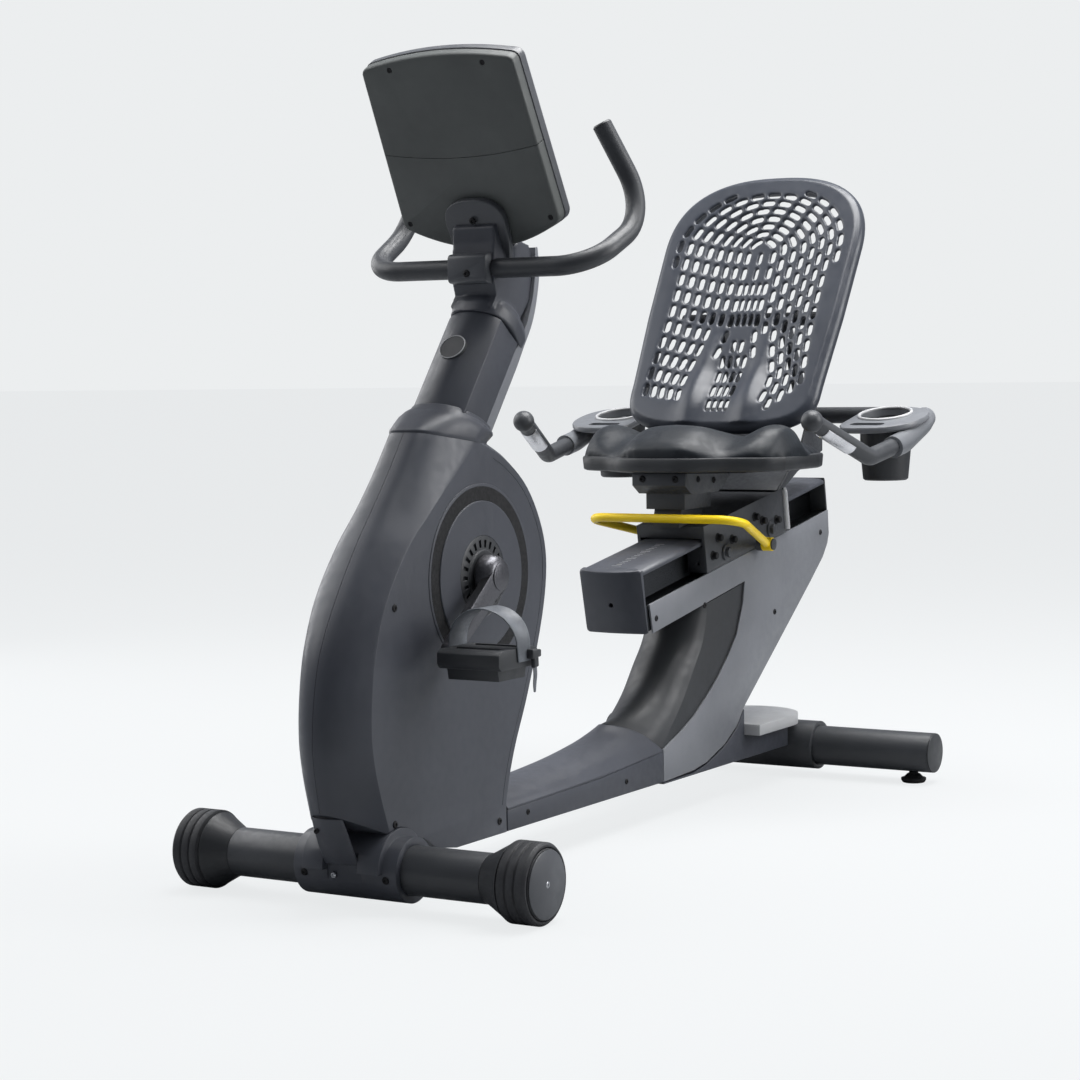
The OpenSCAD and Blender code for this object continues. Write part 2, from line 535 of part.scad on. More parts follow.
// point on the rail's side view: u along it, v square to it
function rail_pt(u, v) = [rail_o[1] + u * cos(rail_tilt) - v * sin(rail_tilt),
  rail_o[2] + u * sin(rail_tilt) + v * cos(rail_tilt)];
pillar = [[960, 118.1], [1060, 118.1], rail_pt(60, -48.3), rail_pt(-70, -48.3)];
module seat_pillar() color("#2b2d30") difference() {
  prof(pillar, -30, 30);
  prof(inset(pillar, 3.5), -27, 27);
}
panel = [rail_pt(-364, 0), rail_pt(-360, -53), rail_pt(-202, -52.5), [1164, 400], [1156, 360], [1130, 304],
  [1095, 268], [1053, 232], [1005, 200], [954, 170], [905, 149], [859, 133], [836.3, 125], [836.3, 66.5],
  [952, 71], [1000, 78], [1075, 102], [1126, 130], [1156, 162], [1453, 376], [1511, 420], [1533, 446],
  [1540, 465], rail_pt(392, 0)];
heel = [[1156, 162], [1453, 376], [1511, 420], [1533, 446], [1538, 459], [1534.8, 460], [1530.5, 448.5],
  [1509, 422.8], [1451, 378.8], [1154, 165]];
// light panel on each side: rail strip, rear of the upright, and half of its rear face
module side_panel() {
  prof(panel, body_half - 3.4, body_half);
  prof(heel, 0.15, body_half - 3.3);
}
module side_panel_left() color("#6a6d73") side_panel();
module side_panel_right() color("#6a6d73") mirror([1, 0, 0]) side_panel();
// dark inner moulding of the upright, seen through the side panels
pillar_x = [0, 22, 42, 55, 62.3];
pillar_front = [
  [[736.5, 181], [795, 189], [862, 222], [912, 268], [950, 306], [978, 352], [984, 366]],
  [[763, 170], [801, 182], [866, 217], [916, 266], [955, 305], [982, 352], [987, 366]],
  [[787, 156], [819, 170], [880, 213], [929, 266], [968, 305], [990, 352], [994, 367]],
  [[806, 142], [838, 162], [896, 206], [944, 260], [982, 304], [1002, 352], [1006, 369]],
  [[836, 127], [862, 152], [915, 200], [962, 256], [999, 304], [1015, 352], [1018, 371]]];
pillar_rear = [[1182, 399.5], [1180, 352], [1152, 292], [1075, 214], [966, 148], [868, 124], [839, 121.8]];
pillar_cavity = [[850, 112], [1260, 112], [1260, 440], [1020, 440], [1010, 352], [990, 304], [953, 260],
  [905, 206], [850, 162]];
module pillar_cover() color("#2e3135") difference() {
  loft(twice_x(pillar_x), twice([for (s = pillar_front) concat(s, pillar_rear)]));
  prof(pillar_cavity, -54, 54);
}
module seat_rail() color("#232528") at_rail() difference() {
  union() {
    box([-61.5, rail_f, -48], [61.5, rail_r, -2.4]);
    box([-28, rail_f, -3], [28, rail_r, 53.4]);
  }
  box([-58, rail_f - 1, -44.5], [58, rail_r + 1, -6]);
  box([-24.5, rail_f - 1, -7], [24.5, rail_r + 1, 50]);
}
module rail_cover() color("#33363b") at_rail() difference() {
  translate([0, rail_r, 0]) rotate([90, 0, 0]) linear_extrude(rail_r - rail_f)
    polygon([[-62, 53.6], [62, 53.6], [62, 60], [56, 64], [30, 66], [-30, 66], [-56, 64], [-62, 60]]);
  box([-58.5, rail_f + 4, 50], [58.5, rail_r - 4, 61]);
}
// caps that close the rail, the rear tube and the handlebar
cap_side = [[-370.2, -52.5], [-370.2, 66], [-384, 65], [-386.5, 60], [-372, -46], [-371.2, -52.5]];
module end_caps() color("#202225") {
  at_rail() difference() {
    union() {
      prof(cap_side, -62, 62);
      translate([0, rail_r + 0.2, 0]) prof([[0, -52.5], [5, -48], [5, 60], [3, 65], [0, 66]], -62, 62);
    }
    translate([0, -380, 5]) rotate([90, 0, 0]) cylinder(r = 4, h = 30, center = true);
  }
  both() {
    xcyl(tube_r - 0.3, rear_half + 0.1, rear_half + 3, base_len, rear_z);
    xcyl(tube_r - tube_wall - 0.2, rear_half - 14, rear_half + 0.2, base_len, rear_z);
  }
  for (s = [-1, 1]) multmatrix(basis(unit([-s * 60, -44, 145]), [s * 169, 466, 1198])) {
    translate([0, 0, -12]) cylinder(r = bar_r - 3.1, h = 12.2);
    translate([0, 0, 0.1]) cylinder(r1 = bar_r, r2 = bar_r - 3, h = 3);
  }
}
// step plate behind the upright, over the beam's end and the rear tube
module step_plan(g) {
  translate([0, 1302]) circle(98 - g);
  translate([-98 + g, 1157.5 + g]) square([196 - 2 * g, 144.5 - g]);
}
module step_cover() color("#75787c") difference() {
  translate([0, 0, 107.8]) linear_extrude(21) step_plan(0);
  translate([0, 0, 100]) linear_extrude(25.5) step_plan(wall);
  box([-30.6, 1150, 100], [30.6, 1170, 118.6]);
}

// ---------------------------------------------------------------- seat carriage
roller_u = [-70, 120];
roller_v = 24;
module carriage() color("#2c2e32") {
  at_rail() difference() {
    union() {
      difference() {
        box([-carriage_half, -147, 3], [carriage_half, 195, 90]);
        box([-carriage_half + 3.5, -143, -2], [carriage_half - 3.5, 196, 86.5]);
        box([-63.6, -150, 0], [63.6, -140, 67.6]);
      }
      both() box([31, -147, 3], [63.6, -143, 51]);
      both() for (u = roller_u) {
        xcyl(6, 34, carriage_half, u, roller_v);
        xcyl(15, 59, carriage_half - 3, u, roller_v);
        xcyl(15, carriage_half - 1, carriage_half + 4, u, roller_v);
        xcyl(10, carriage_half + 3, carriage_half + 11, u, roller_v, $fn = 6);
      }
      both() box([carriage_half - 1, 186, 8], [carriage_half + 2.5, 198, 91]);
      box([-carriage_half - 2.5, 186, 89], [carriage_half + 2.5, 198, 93]);
    }
    both() translate([52, -145, 20]) rotate([90, 0, 0]) cylinder(r = 3, h = 20, center = true);
  }
  both() {
    xcyl(6, carriage_half - 1, 103, lever_pivot[1], lever_pivot[2]);
    xcyl(13, carriage_half - 1, 80, lever_pivot[1], lever_pivot[2]);
    xcyl(11, 100.4, 103, lever_pivot[1], lever_pivot[2]);
  }
}
module roller_pair(u) at_rail() both() difference() {
  xcyl(roller_r, 36, 58, u, roller_v);
  xcyl(6.06, 30, 60, u, roller_v);
}
module rollers_front() color("#d9dadb") roller_pair(roller_u[0]);
module rollers_rear() color("#d9dadb") roller_pair(roller_u[1]);
// post, block and head that carry the seat pan
module seat_bracket() color("#303338") {
  prof([rail_pt(-163, 90.3), rail_pt(-74, 90.3), [1068, 546], [985, 546]], -28, 28);
  box([-40, 975, 545.5], [40, 1078, 575]);
  prof([[950, 612.5], [950, 590], [975, 574], [1080, 574], [1122, 598], [1122, 612.5]], -55, 55);
  prof([[958, 612], [1262, 612], [1262, 616], [958, 616]], -150, 150);
}
// saddle cushion: raised pommel, a dip under each thigh, raised wings
cush_x = [-210, -204, -188, -165, -135, -110, -92, -75, -45, 0, 45, 75, 92, 110, 135, 165, 188, 204, 210];
cush_front = [[0, 931], [45, 932], [75, 938], [92, 956], [110, 978], [135, 988], [165, 992], [188, 1000],
  [204, 1022], [210, 1046]];
cush_rear = [[0, 1280], [75, 1280], [135, 1276], [165, 1266], [188, 1246], [204, 1214], [210, 1186]];
function top_at(a, t) = lookup(t, [[0, lookup(a, [[0, 668], [60, 666], [100, 644], [160, 658], [210, 642]])],
  [0.2, lookup(a, [[0, 694], [60, 688], [100, 656], [160, 690], [195, 682], [210, 654]])],
  [0.45, lookup(a, [[0, 682], [60, 678], [100, 668], [160, 690], [195, 684], [210, 656]])],
  [0.6, lookup(a, [[0, 668], [100, 664], [160, 672], [195, 668], [210, 650]])],
  [0.8, lookup(a, [[0, 654], [100, 654], [160, 658], [195, 655], [210, 642]])],
  [1, lookup(a, [[0, 648], [160, 650], [210, 640]])]]);
function cush_at(x) = let (a = abs(x), f = lookup(a, cush_front), r = lookup(a, cush_rear), l = r - f,
  e = a > 203 ? 2 : 0) concat(
  [[f + 14, 617 + e], [r - 14, 617 + e], [r - 3, 626 + e]],
  [for (t = [1, 0.96, 0.85, 0.7, 0.55, 0.4, 0.28, 0.18, 0.09, 0.03, 0])
    [f + l * t, top_at(a, t) - (t == 1 || t == 0 ? 9 : (t == 0.96 || t == 0.03) ? 4 : 0)]],
  [[f + 2, 628 + e]]);
module seat_cushion() color("#2f353b") loft(cush_x, [for (x = cush_x) cush_at(x)]);

// ---------------------------------------------------------------- backrest and seat arms
back_pts = rounded([[-196, -14], [196, -14], [back_half, 150], [back_half, 460], [118, back_len],
  [-118, back_len], [-back_half, 460], [-back_half, 150]], [50, 50, 200, 70, 90, 90, 70, 200], 6);
module slot2d(l, w) { square([w, l - w], center = true); for (s = [-1, 1]) translate([0, s * (l - w) / 2]) circle(w / 2, $fn = 16); }
module backrest() color("#3d444c") at_back() difference() {
  union() {
    difference() {
      front(0, 38) polygon(back_pts);
      front(-1, 39) polygon(inset(back_pts, 26));
    }
    front(14, 22) polygon(inset(back_pts, 24));
  }
  front(0, 60) {
    for (i = [-5 : 5], j = [0 : 10]) if (abs(i) < 5 || (j > 1 && j < 9))
      translate([i * 31, 70 + j * 42 + (abs(i) % 2) * 21]) slot2d(31, 11);
  }
}
arm_path = [[299, 970, 707], [340, 1124, 637], [352, 1250, 660], [352, 1335, 690], [330, 1410, 703],
  [250, 1440, 705], [-250, 1440, 705], [-330, 1410, 703], [-352, 1335, 690], [-352, 1250, 660],
  [-340, 1124, 637], [-299, 970, 707]];
arm_bend = [0, 34, 90, 90, 60, 40, 40, 60, 90, 90, 34, 0];
// tube loop of the seat: handles, arms, rear bracket and the posts that hold the backrest
module seat_frame() color("#303338") {
  rod(arm_path, arm_bend, handle_r);
  both() translate(arm_path[0]) sphere(r = 20);
  both() {
    prof([rail_pt(150, 93.4), rail_pt(180, 93.4), [1369, 597], [1484, 634], [1484, 690], [1462, 716],
      [1440, 716], [1415, 690], [1385, 640]], 74, 80);
    prof([[1408, 694], [1440, 716], [1346, 906], [1326.4, 897]], 62, 76);
  }
  box([-75, 1400, 612], [75, 1478, 618]);
  prof([rail_pt(150, 93.4), rail_pt(180, 93.4), [1369, 597.6], [1369, 601]], -75, 75);
  xcyl(13, -150, 150, 1339, 893);
}
grip_dir = unit(arm_path[1] - arm_path[0]);
// contact plates on the underside of each handle
module pulse_sensors() color("#c7c9cc") both() multmatrix(basis(grip_dir, arm_path[0] + grip_dir * 32))
  difference() {
    cylinder(r = handle_r + 1.3, h = 82);
    translate([0, 0, -1]) cylinder(r = handle_r + 0.1, h = 84);
    box([-30, -4, -1], [30, 30, 83]);
  }
tray_pts = rounded([[-56, -104], [46, -100], [86, -58], [88, 20], [64, 62], [-40, 62], [-58, 20]],
  [20, 22, 30, 40, 26, 26, 30], 5);
// tray on each arm, with a cup holder and a slot for a phone
module trays() color("#4a4d53") both() difference() {
  union() {
    translate(cup_o) rotate([12, 0, 0]) translate([0, 0, -13]) linear_extrude(13) polygon(tray_pts);
    translate(cup_o) rotate([12, 0, 0]) translate([0, 0, -1]) cylinder(r = 55, h = 5);
    translate([cup_o[0], cup_o[1], 585]) cylinder(r = cup_r + 2.5, h = 116);
    rod([[350.1, 1207.4, 652.3], [352, 1250, 660], [352, 1335, 690], [333.5, 1398, 701]], [0, 90, 90, 0], 20.5);
  }
  rod([for (i = [0 : 5]) arm_path[i]], [for (i = [0 : 4]) arm_bend[i], 0], handle_r + 0.3);
  translate([cup_o[0], cup_o[1], 588]) cylinder(r = cup_r, h = 102);
  translate([cup_o[0], cup_o[1], 690]) cylinder(r = cup_r + 1, h = 60);
  translate(cup_o) rotate([12, 0, 0]) translate([-4, -80, -20]) linear_extrude(40) rotate(90) slot2d(70, 20);
}
// release lever: one bent bar, front grip to a pivot on each side of the carriage
module release_lever() color("#e0c11f") difference() {
  union() {
    rod([[-88, lever_pivot[1], lever_pivot[2]], [-lever_corner[0], lever_corner[1], lever_corner[2]],
      lever_corner, [88, lever_pivot[1], lever_pivot[2]]], [0, 36, 36, 0], 8);
    both() xcyl(13, 80.4, 100, lever_pivot[1], lever_pivot[2]);
  }
  both() xcyl(6.06, 70, 110, lever_pivot[1], lever_pivot[2]);
}

at_origin() {
  front_stabiliser();
  wheel_collars();
  front_bracket();
  nose_plate();
  base_beam();
  mast_tube();
  shroud_left();
  shroud_right();
  shroud_collar();
  crank_covers();
  mast_cover();
  mast_rear_cover();
  mast_head();
  handlebar();
  handlebar_clamp();
  end_caps();
  console_back();
  console_lower();
  console_bezel();
  display();
  console_board();
  beam_cover_upper();
  beam_cover_lower();
  seat_pillar();
  side_panel_left();
  side_panel_right();
  pillar_cover();
  seat_rail();
  rail_cover();
  rear_stabiliser();
  step_cover();
  bearings();
  stator();
  drive_belt();
  crank_axle();
  crank_arm_left();
  crank_arm_right();
  drive_pulley();
  pedal_left();
  strap_left();
  pedal_right();
  strap_right();
  rotor();
  transport_wheel_left();
  transport_wheel_right();
  foot_left();
  foot_right();
  carriage();
  rollers_front();
  rollers_rear();
  seat_bracket();
  seat_cushion();
  backrest();
  seat_frame();
  pulse_sensors();
  trays();
  release_lever();
  button_left();
  button_middle();
  button_right();
}
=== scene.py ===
import json
import math
from math import cos, exp, pi, radians, sin

import bmesh
import bpy
from mathutils import Matrix, Vector

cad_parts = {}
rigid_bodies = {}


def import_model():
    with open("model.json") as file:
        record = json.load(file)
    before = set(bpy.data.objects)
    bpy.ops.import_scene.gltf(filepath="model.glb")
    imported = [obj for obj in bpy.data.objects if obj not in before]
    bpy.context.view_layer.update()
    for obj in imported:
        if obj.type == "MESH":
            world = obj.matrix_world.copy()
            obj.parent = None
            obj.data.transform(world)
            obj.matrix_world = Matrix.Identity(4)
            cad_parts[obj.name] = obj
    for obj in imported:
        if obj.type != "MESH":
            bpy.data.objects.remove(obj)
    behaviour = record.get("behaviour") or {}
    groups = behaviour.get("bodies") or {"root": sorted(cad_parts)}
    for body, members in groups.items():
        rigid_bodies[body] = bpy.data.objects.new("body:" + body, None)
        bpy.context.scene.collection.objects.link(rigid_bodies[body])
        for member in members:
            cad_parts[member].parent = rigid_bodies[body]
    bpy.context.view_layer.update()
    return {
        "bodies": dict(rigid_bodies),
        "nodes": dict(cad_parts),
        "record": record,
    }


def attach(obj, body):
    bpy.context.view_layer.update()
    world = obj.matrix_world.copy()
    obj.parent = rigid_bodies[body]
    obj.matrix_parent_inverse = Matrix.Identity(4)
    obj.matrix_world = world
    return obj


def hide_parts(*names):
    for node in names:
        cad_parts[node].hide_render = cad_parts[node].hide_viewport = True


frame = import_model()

NODES = frame["nodes"]
SLOT_OF = {row["node"]: row["material_slot"] for row in frame["record"]["subparts"]}
SIDES = (-1, 1)
# the CAD source counts its lengths from the front stabiliser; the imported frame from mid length
MID_Y = 713.4


def at(x, y, z):
    """A point of the CAD source, in millimetres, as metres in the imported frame."""
    return Vector((x / 1000, (y - MID_Y) / 1000, z / 1000))


def circle(count):
    """Cosine and sine at even steps round a circle."""
    return [(cos(2 * pi * k / count), sin(2 * pi * k / count)) for k in range(count)]


def half_turn(count):
    """Cosine and sine from the start of half a circle to its end."""
    return [(cos(pi * k / count), sin(pi * k / count)) for k in range(count + 1)]


def across(count):
    """From -1 to 1 in steps that shorten towards both ends."""
    return [sin(pi * (k / count - 0.5)) for k in range(count + 1)]


def leaning(origin, angle):
    """Frame turned about X by degrees: a function from its x, y, z to millimetres of the CAD source."""
    c, s = cos(radians(angle)), sin(radians(angle))
    return lambda x, y, z: (origin[0] + x, origin[1] + y * c + z * s, origin[2] - y * s + z * c)


CONSOLE_LEAN = -27.1
mast = leaning((0, 206, 756), 38)  # y back from the mast's front face, z up along it
back = leaning((0, 1162, 700), 31)  # y back from the backrest's front face, z up along it
console = leaning((0, 363, 1040), CONSOLE_LEAN)  # y back to front of the console, z up it
CUP = (286, 1321, 710)
tray = leaning(CUP, -12)  # the left tray, flat in x and y
rail = leaning((0, 1150, 448.6), -9.4)  # y along the seat rail, z square to it


def rail_yz(u, v):
    return rail(0, u, v)[1:]


# ---- camera, floor, light
def new_object(name, data):
    piece = bpy.data.objects.new(name, data)
    bpy.context.scene.collection.objects.link(piece)
    return piece


def make_camera():
    azimuth, elevation, roll = radians(31.14), radians(4.63), radians(-0.89)
    view = Vector((sin(azimuth) * cos(elevation), -cos(azimuth) * cos(elevation), sin(elevation)))
    right = (-view).cross(Vector((0, 0, 1))).normalized()
    up = right.cross(-view)
    right, up = cos(roll) * right + sin(roll) * up, cos(roll) * up - sin(roll) * right
    data = bpy.data.cameras.new("camera")
    data.lens, data.sensor_width, data.clip_end = 84.5, 36, 100
    data.shift_x, data.shift_y = -0.0096, 0.0218
    camera = new_object("camera", data)
    camera.matrix_world = Matrix.Translation((2.218, -3.8204, 0.825)) @ Matrix(
        (right, up, view)).transposed().to_4x4()
    bpy.context.scene.camera = camera


def set_inputs(node, **values):
    """Sets or links a node's inputs; an underscore stands for a space in an input's name."""
    for name, value in values.items():
        socket = node.inputs[name.replace("_", " ")]
        if isinstance(value, bpy.types.NodeSocket):
            node.id_data.links.new(value, socket)
        else:
            socket.default_value = value
    return node


def add_node(tree, kind, **values):
    return set_inputs(tree.nodes.new("ShaderNode" + kind), **values)


def pair(tree, kind, sockets, **values):
    """A node that joins two shaders."""
    node = add_node(tree, kind, **values)
    for target, socket in zip([i for i in node.inputs if i.type == "SHADER"], sockets):
        tree.links.new(socket, target)
    return node.outputs["Shader"]


def seen_by_camera(tree, seen, unseen, output):
    """Sends two shaders to the output: what the camera sees, and the light that it gives out."""
    ray = add_node(tree, "LightPath").outputs["Is Camera Ray"]
    set_inputs(tree.nodes[output], Surface=pair(tree, "MixShader", (unseen, seen), Fac=ray))


BACKDROP = (0.838, 0.855, 0.863, 1)
FLOOR_REACH = 60


def make_floor():
    """Pale floor that runs into the background and gives out less light than it shows."""
    corners = [(x * FLOOR_REACH, y * FLOOR_REACH, 0) for x, y in ((-1, -1), (1, -1), (1, 1), (-1, 1))]
    mesh = bpy.data.meshes.new("floor")
    mesh.from_pydata(corners, [], [(0, 1, 2, 3)])
    material = bpy.data.materials.new("floor")
    material.use_nodes = True
    tree = material.node_tree
    matt = set_inputs(tree.nodes["Principled BSDF"], Base_Color=(0.08, 0.081, 0.082, 1), Roughness=0.95,
            Specular_IOR_Level=0.0)
    glow = add_node(tree, "Emission", Color=BACKDROP, Strength=0.93)
    bounce = add_node(tree, "BsdfDiffuse", Color=(0.36, 0.37, 0.38, 1))
    seen_by_camera(tree, pair(tree, "AddShader", (matt.outputs["BSDF"], glow.outputs["Emission"])),
            bounce.outputs["BSDF"], "Material Output")
    mesh.materials.append(material)
    new_object("floor", mesh)


def make_studio():
    """Pale background and soft light, with less of it from behind the camera than from the sides."""
    world = bpy.data.worlds.new("studio")
    world.use_nodes = True
    tree = world.node_tree
    plain = set_inputs(tree.nodes["Background"], Color=BACKDROP, Strength=1.0)
    facing = add_node(tree, "VectorMath", Vector=add_node(tree, "TexCoord").outputs["Generated"])
    facing.operation = "DOT_PRODUCT"
    facing.inputs[1].default_value = (0.6, -0.8, 0)
    graded = add_node(tree, "MapRange", From_Min=-0.2, From_Max=0.85, To_Min=0.42, To_Max=0.12,
            Value=facing.outputs["Value"])
    fill = add_node(tree, "Background", Color=(0.86, 0.9, 1.0, 1), Strength=graded.outputs["Result"])
    seen_by_camera(tree, plain.outputs["Background"], fill.outputs["Background"], "World Output")
    for name, location, target, size, energy in (
            ("key", (-2.9, -1.3, 2.8), (0, -0.2, 0.7), (2.4, 2.8), 48),
            ("side", (3.4, 1.3, 1.9), (0, 0, 0.4), (1.8, 2.0), 72),
            ("left", (-3.0, 0.6, 1.6), (0, -0.1, 0.6), (1.6, 2.4), 28),
            ("top", (0.5, 0.7, 3.6), (0, 0.2, 0), (2.4, 2.6), 205)):
        data = bpy.data.lights.new(name, "AREA")
        data.shape, data.energy = "RECTANGLE", energy
        data.size, data.size_y = size
        light = new_object(name, data)
        light.location = location
        light.rotation_euler = (Vector(target) - Vector(location)).to_track_quat("-Z", "Y").to_euler()
    scene = bpy.context.scene
    scene.world = world
    scene.view_settings.view_transform = "Standard"
    scene.view_settings.look = "None"


# ---- materials
# each kind: tone (noise scale, detail, darkest, lightest), gloss (noise scale, detail, less, more),
# bump (noise scale, detail, depth, strength, rounding of edges) and settings of the shader
# fine spark-eroded grain of moulded plastic
MOULDED = ((9, 4, 0.93, 1.07), (60, 5, 0.05, 0.05), (1400, 3, 0.00004, 0.6, 0.0015), {})
# faint orange peel of powder coat
PAINTED = ((14, 3, 0.94, 1.06), (120, 4, 0.06, 0.06), (420, 2, 0.00006, 0.5, 0.001), {})
# brushing of bare metal
METAL = ((300, 4, 0.85, 1.1), (300, 4, 0.08, 0.1), (300, 4, 0.00003, 0.5, 0.0008), {"Metallic": 1.0})
RUBBER = ((30, 5, 0.85, 1.25), (200, 3, 0.08, 0.08), (1800, 2, 0.00005, 0.7, 0.001), {"Specular_IOR_Level": 0.35})
# vinyl upholstery: no detail in its bump means leather cells instead of noise
HIDE = ((25, 5, 0.88, 1.12), (90, 4, 0.06, 0.08), (700, None, 0.00018, 0.7, 0), {"Specular_IOR_Level": 0.3})
# its two tones are in its row, and it has no bump
GLASS = ((6, 2), (40, 4, 0.03, 0.04), None, {"Coat_Weight": 0.6})

FINISHES = {
    "steel_dark": (PAINTED, (0.042, 0.045, 0.05), 0.45, {"Coat_Weight": 0.05}),
    "shroud_plastic": (MOULDED, (0.05, 0.054, 0.066), 0.42), "panel_grey": (MOULDED, (0.19, 0.197, 0.214), 0.38),
    "dark_plastic": (MOULDED, (0.026, 0.028, 0.031), 0.45), "console_plastic": (MOULDED, (0.083, 0.09, 0.087), 0.5),
    "bezel_plastic": (MOULDED, (0.07, 0.074, 0.082), 0.4),
    "screen": (GLASS, (0.006, 0.008, 0.01), 0.08, {"tones": ((0.005, 0.007, 0.009), (0.009, 0.012, 0.015))}),
    "board": (MOULDED, (0.02, 0.12, 0.06), 0.5), "bare_steel": (METAL, (0.5, 0.51, 0.53), 0.3),
    "winding": (METAL, (0.45, 0.22, 0.1), 0.35, {"stretch": (1, 12, 12)}),
    "belt_rubber": (RUBBER, (0.008, 0.008, 0.009), 0.7), "wheel_rubber": (RUBBER, (0.03, 0.031, 0.034), 0.55),
    "foot_rubber": (RUBBER, (0.015, 0.015, 0.016), 0.7), "crank_metal": (METAL, (0.13, 0.13, 0.14), 0.36),
    "rotor_metal": (METAL, (0.2, 0.2, 0.21), 0.4), "strap_rubber": (RUBBER, (0.13, 0.14, 0.155), 0.42),
    "rail_metal": (METAL, (0.03, 0.032, 0.035), 0.35, {"stretch": (14, 1, 14)}),
    "roller_nylon": (MOULDED, (0.7, 0.7, 0.68), 0.35), "cushion_skin": (HIDE, (0.013, 0.016, 0.02), 0.42),
    "back_plastic": (MOULDED, (0.036, 0.041, 0.053), 0.34),
    "sensor_metal": (METAL, (0.8, 0.8, 0.82), 0.32, {"coarser": 10}),
    "lever_yellow": (PAINTED, (1.0, 0.68, 0.002), 0.45), "tray_plastic": (MOULDED, (0.16, 0.167, 0.18), 0.36),
    # light grey of the buttons, tray rims, scale and badge ring; on the step cover it is partly a painted
    # highlight, on the carriage hoop a painted reflection of bare steel
    "button_grey": (MOULDED, (0.45, 0.455, 0.46), 0.35), }


def textured(name, kind, colour, roughness, stretch=(1, 1, 1), coarser=1, tones=None, **inputs):
    """Material whose tone, gloss and bump come from noise in the object's own space."""
    tone, gloss, bump, settings = kind
    material = bpy.data.materials.new(name)
    material.use_nodes = True
    material.diffuse_color = (*colour, 1)
    tree = material.node_tree
    shader = set_inputs(tree.nodes["Principled BSDF"], Base_Color=(*colour, 1), Roughness=roughness,
            **settings, **inputs)
    place = add_node(tree, "Mapping", Scale=stretch, Vector=add_node(tree, "TexCoord").outputs["Object"])

    def pattern(scale, detail):
        if not detail:
            return add_node(tree, "TexVoronoi", Scale=scale, Vector=place.outputs[0]).outputs["Distance"]
        return add_node(tree, "TexNoise", Scale=scale / coarser, Detail=detail,
                Vector=place.outputs[0]).outputs["Fac"]

    def spread(row, low, high):
        """Stretches the middle of a noise over low to high."""
        return add_node(tree, "MapRange", From_Min=0.35, From_Max=0.65, To_Min=low, To_Max=high,
                Value=pattern(*row[:2])).outputs["Result"]
    dark, light = tones or [[min(1.0, c * factor) for c in colour] for factor in tone[2:]]
    mix = add_node(tree, "Mix")
    mix.data_type = "RGBA"
    set_inputs(mix, A=(*dark, 1), B=(*light, 1), Factor=spread(tone, 0, 1))
    set_inputs(shader, Base_Color=mix.outputs["Result"],
            Roughness=spread(gloss, roughness - gloss[2], roughness + gloss[3]))
    if bump:
        relief = add_node(tree, "Bump", Height=pattern(*bump[:2]), Distance=bump[2], Strength=bump[3])
        if bump[4]:
            edges = add_node(tree, "Bevel", Radius=bump[4])
            edges.samples = 6
            set_inputs(relief, Normal=edges.outputs["Normal"])
        set_inputs(shader, Normal=relief.outputs["Normal"])
    return material


MATERIALS = {name: textured(name, *row[:3], **dict(*row[3:])) for name, row in FINISHES.items()}


def dress_cad_nodes():
    for name, node in NODES.items():
        material = MATERIALS[SLOT_OF[name]]
        if not node.material_slots:
            node.data.materials.append(material)
        for material_slot in node.material_slots:
            material_slot.material = material


# ---- building pieces
def settle(piece):
    """Applies every modifier of a piece, so that its mesh is final."""
    mesh = bpy.data.meshes.new_from_object(piece.evaluated_get(bpy.context.evaluated_depsgraph_get()))
    piece.modifiers.clear()
    piece.data = mesh
    return piece


# finishes that differ from the CAD node's own slot; the step cover's light grey is partly its own paint and partly
# a painted highlight of its lit top face
FINISH = {"handlebar_clamp": "bezel_plastic", "step_cover": "button_grey", "front_bracket": "shroud_plastic",
        "nose_plate": "shroud_plastic", "mast_head": "shroud_plastic"}


def finish_piece(piece, owner, slot_name=None):
    """Material and riding body. With no slot named the piece takes its owner node's, and stands for that node."""
    if not slot_name:
        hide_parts(owner)
        slot_name = FINISH.get(owner, SLOT_OF[owner])
    bodies = frame["record"]["behaviour"]["bodies"]
    body = owner if owner in frame["bodies"] else next(b for b, members in bodies.items() if owner in members)
    piece.data.materials.clear()
    piece.data.materials.append(MATERIALS[slot_name])
    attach(piece, body)
    return piece


def edit_mesh(mesh, change):
    """Runs change(bmesh) on a mesh."""
    work = bmesh.new()
    work.from_mesh(mesh)
    change(work)
    work.to_mesh(mesh)
    work.free()
    return mesh


def smooth_by_angle(mesh, degrees):
    """Smooth shading with sharp edges where faces meet at more than the angle."""
    def change(work):
        for face in work.faces:
            face.smooth = True
        for edge in work.edges:
            edge.smooth = len(edge.link_faces) == 2 and edge.calc_face_angle(0) < radians(degrees)
    return edit_mesh(mesh, change)


def joined(name, meshes):
    return edit_mesh(bpy.data.meshes.new(name), lambda work: [work.from_mesh(mesh) for mesh in meshes])


def add_bevel(piece, width, segments=3, degrees=30.0):
    bevel = piece.modifiers.new("edge", "BEVEL")
    bevel.width = width / 1000
    bevel.segments = segments
    bevel.limit_method = "ANGLE"
    bevel.angle_limit = radians(degrees)
    bevel.harden_normals = False
    return piece


def cut(piece, cutters, operation="DIFFERENCE"):
    """Takes each cutter mesh out of the piece, or keeps only what they share."""
    for mesh in cutters:
        tool = new_object("cutter", mesh)
        boolean = piece.modifiers.new("cut", "BOOLEAN")
        boolean.operation = operation
        boolean.solver = "MANIFOLD"
        boolean.object = tool
        settle(piece)
        bpy.data.objects.remove(tool)
    return piece


def worked(mesh, cutters=(), bevel=None):
    """The mesh after a bevel of (width, segments, degrees) and the cuts."""
    piece = new_object("work", mesh)
    if bevel:
        settle(add_bevel(piece, *bevel))
    mesh = cut(piece, cutters).data
    bpy.data.objects.remove(piece)
    return mesh


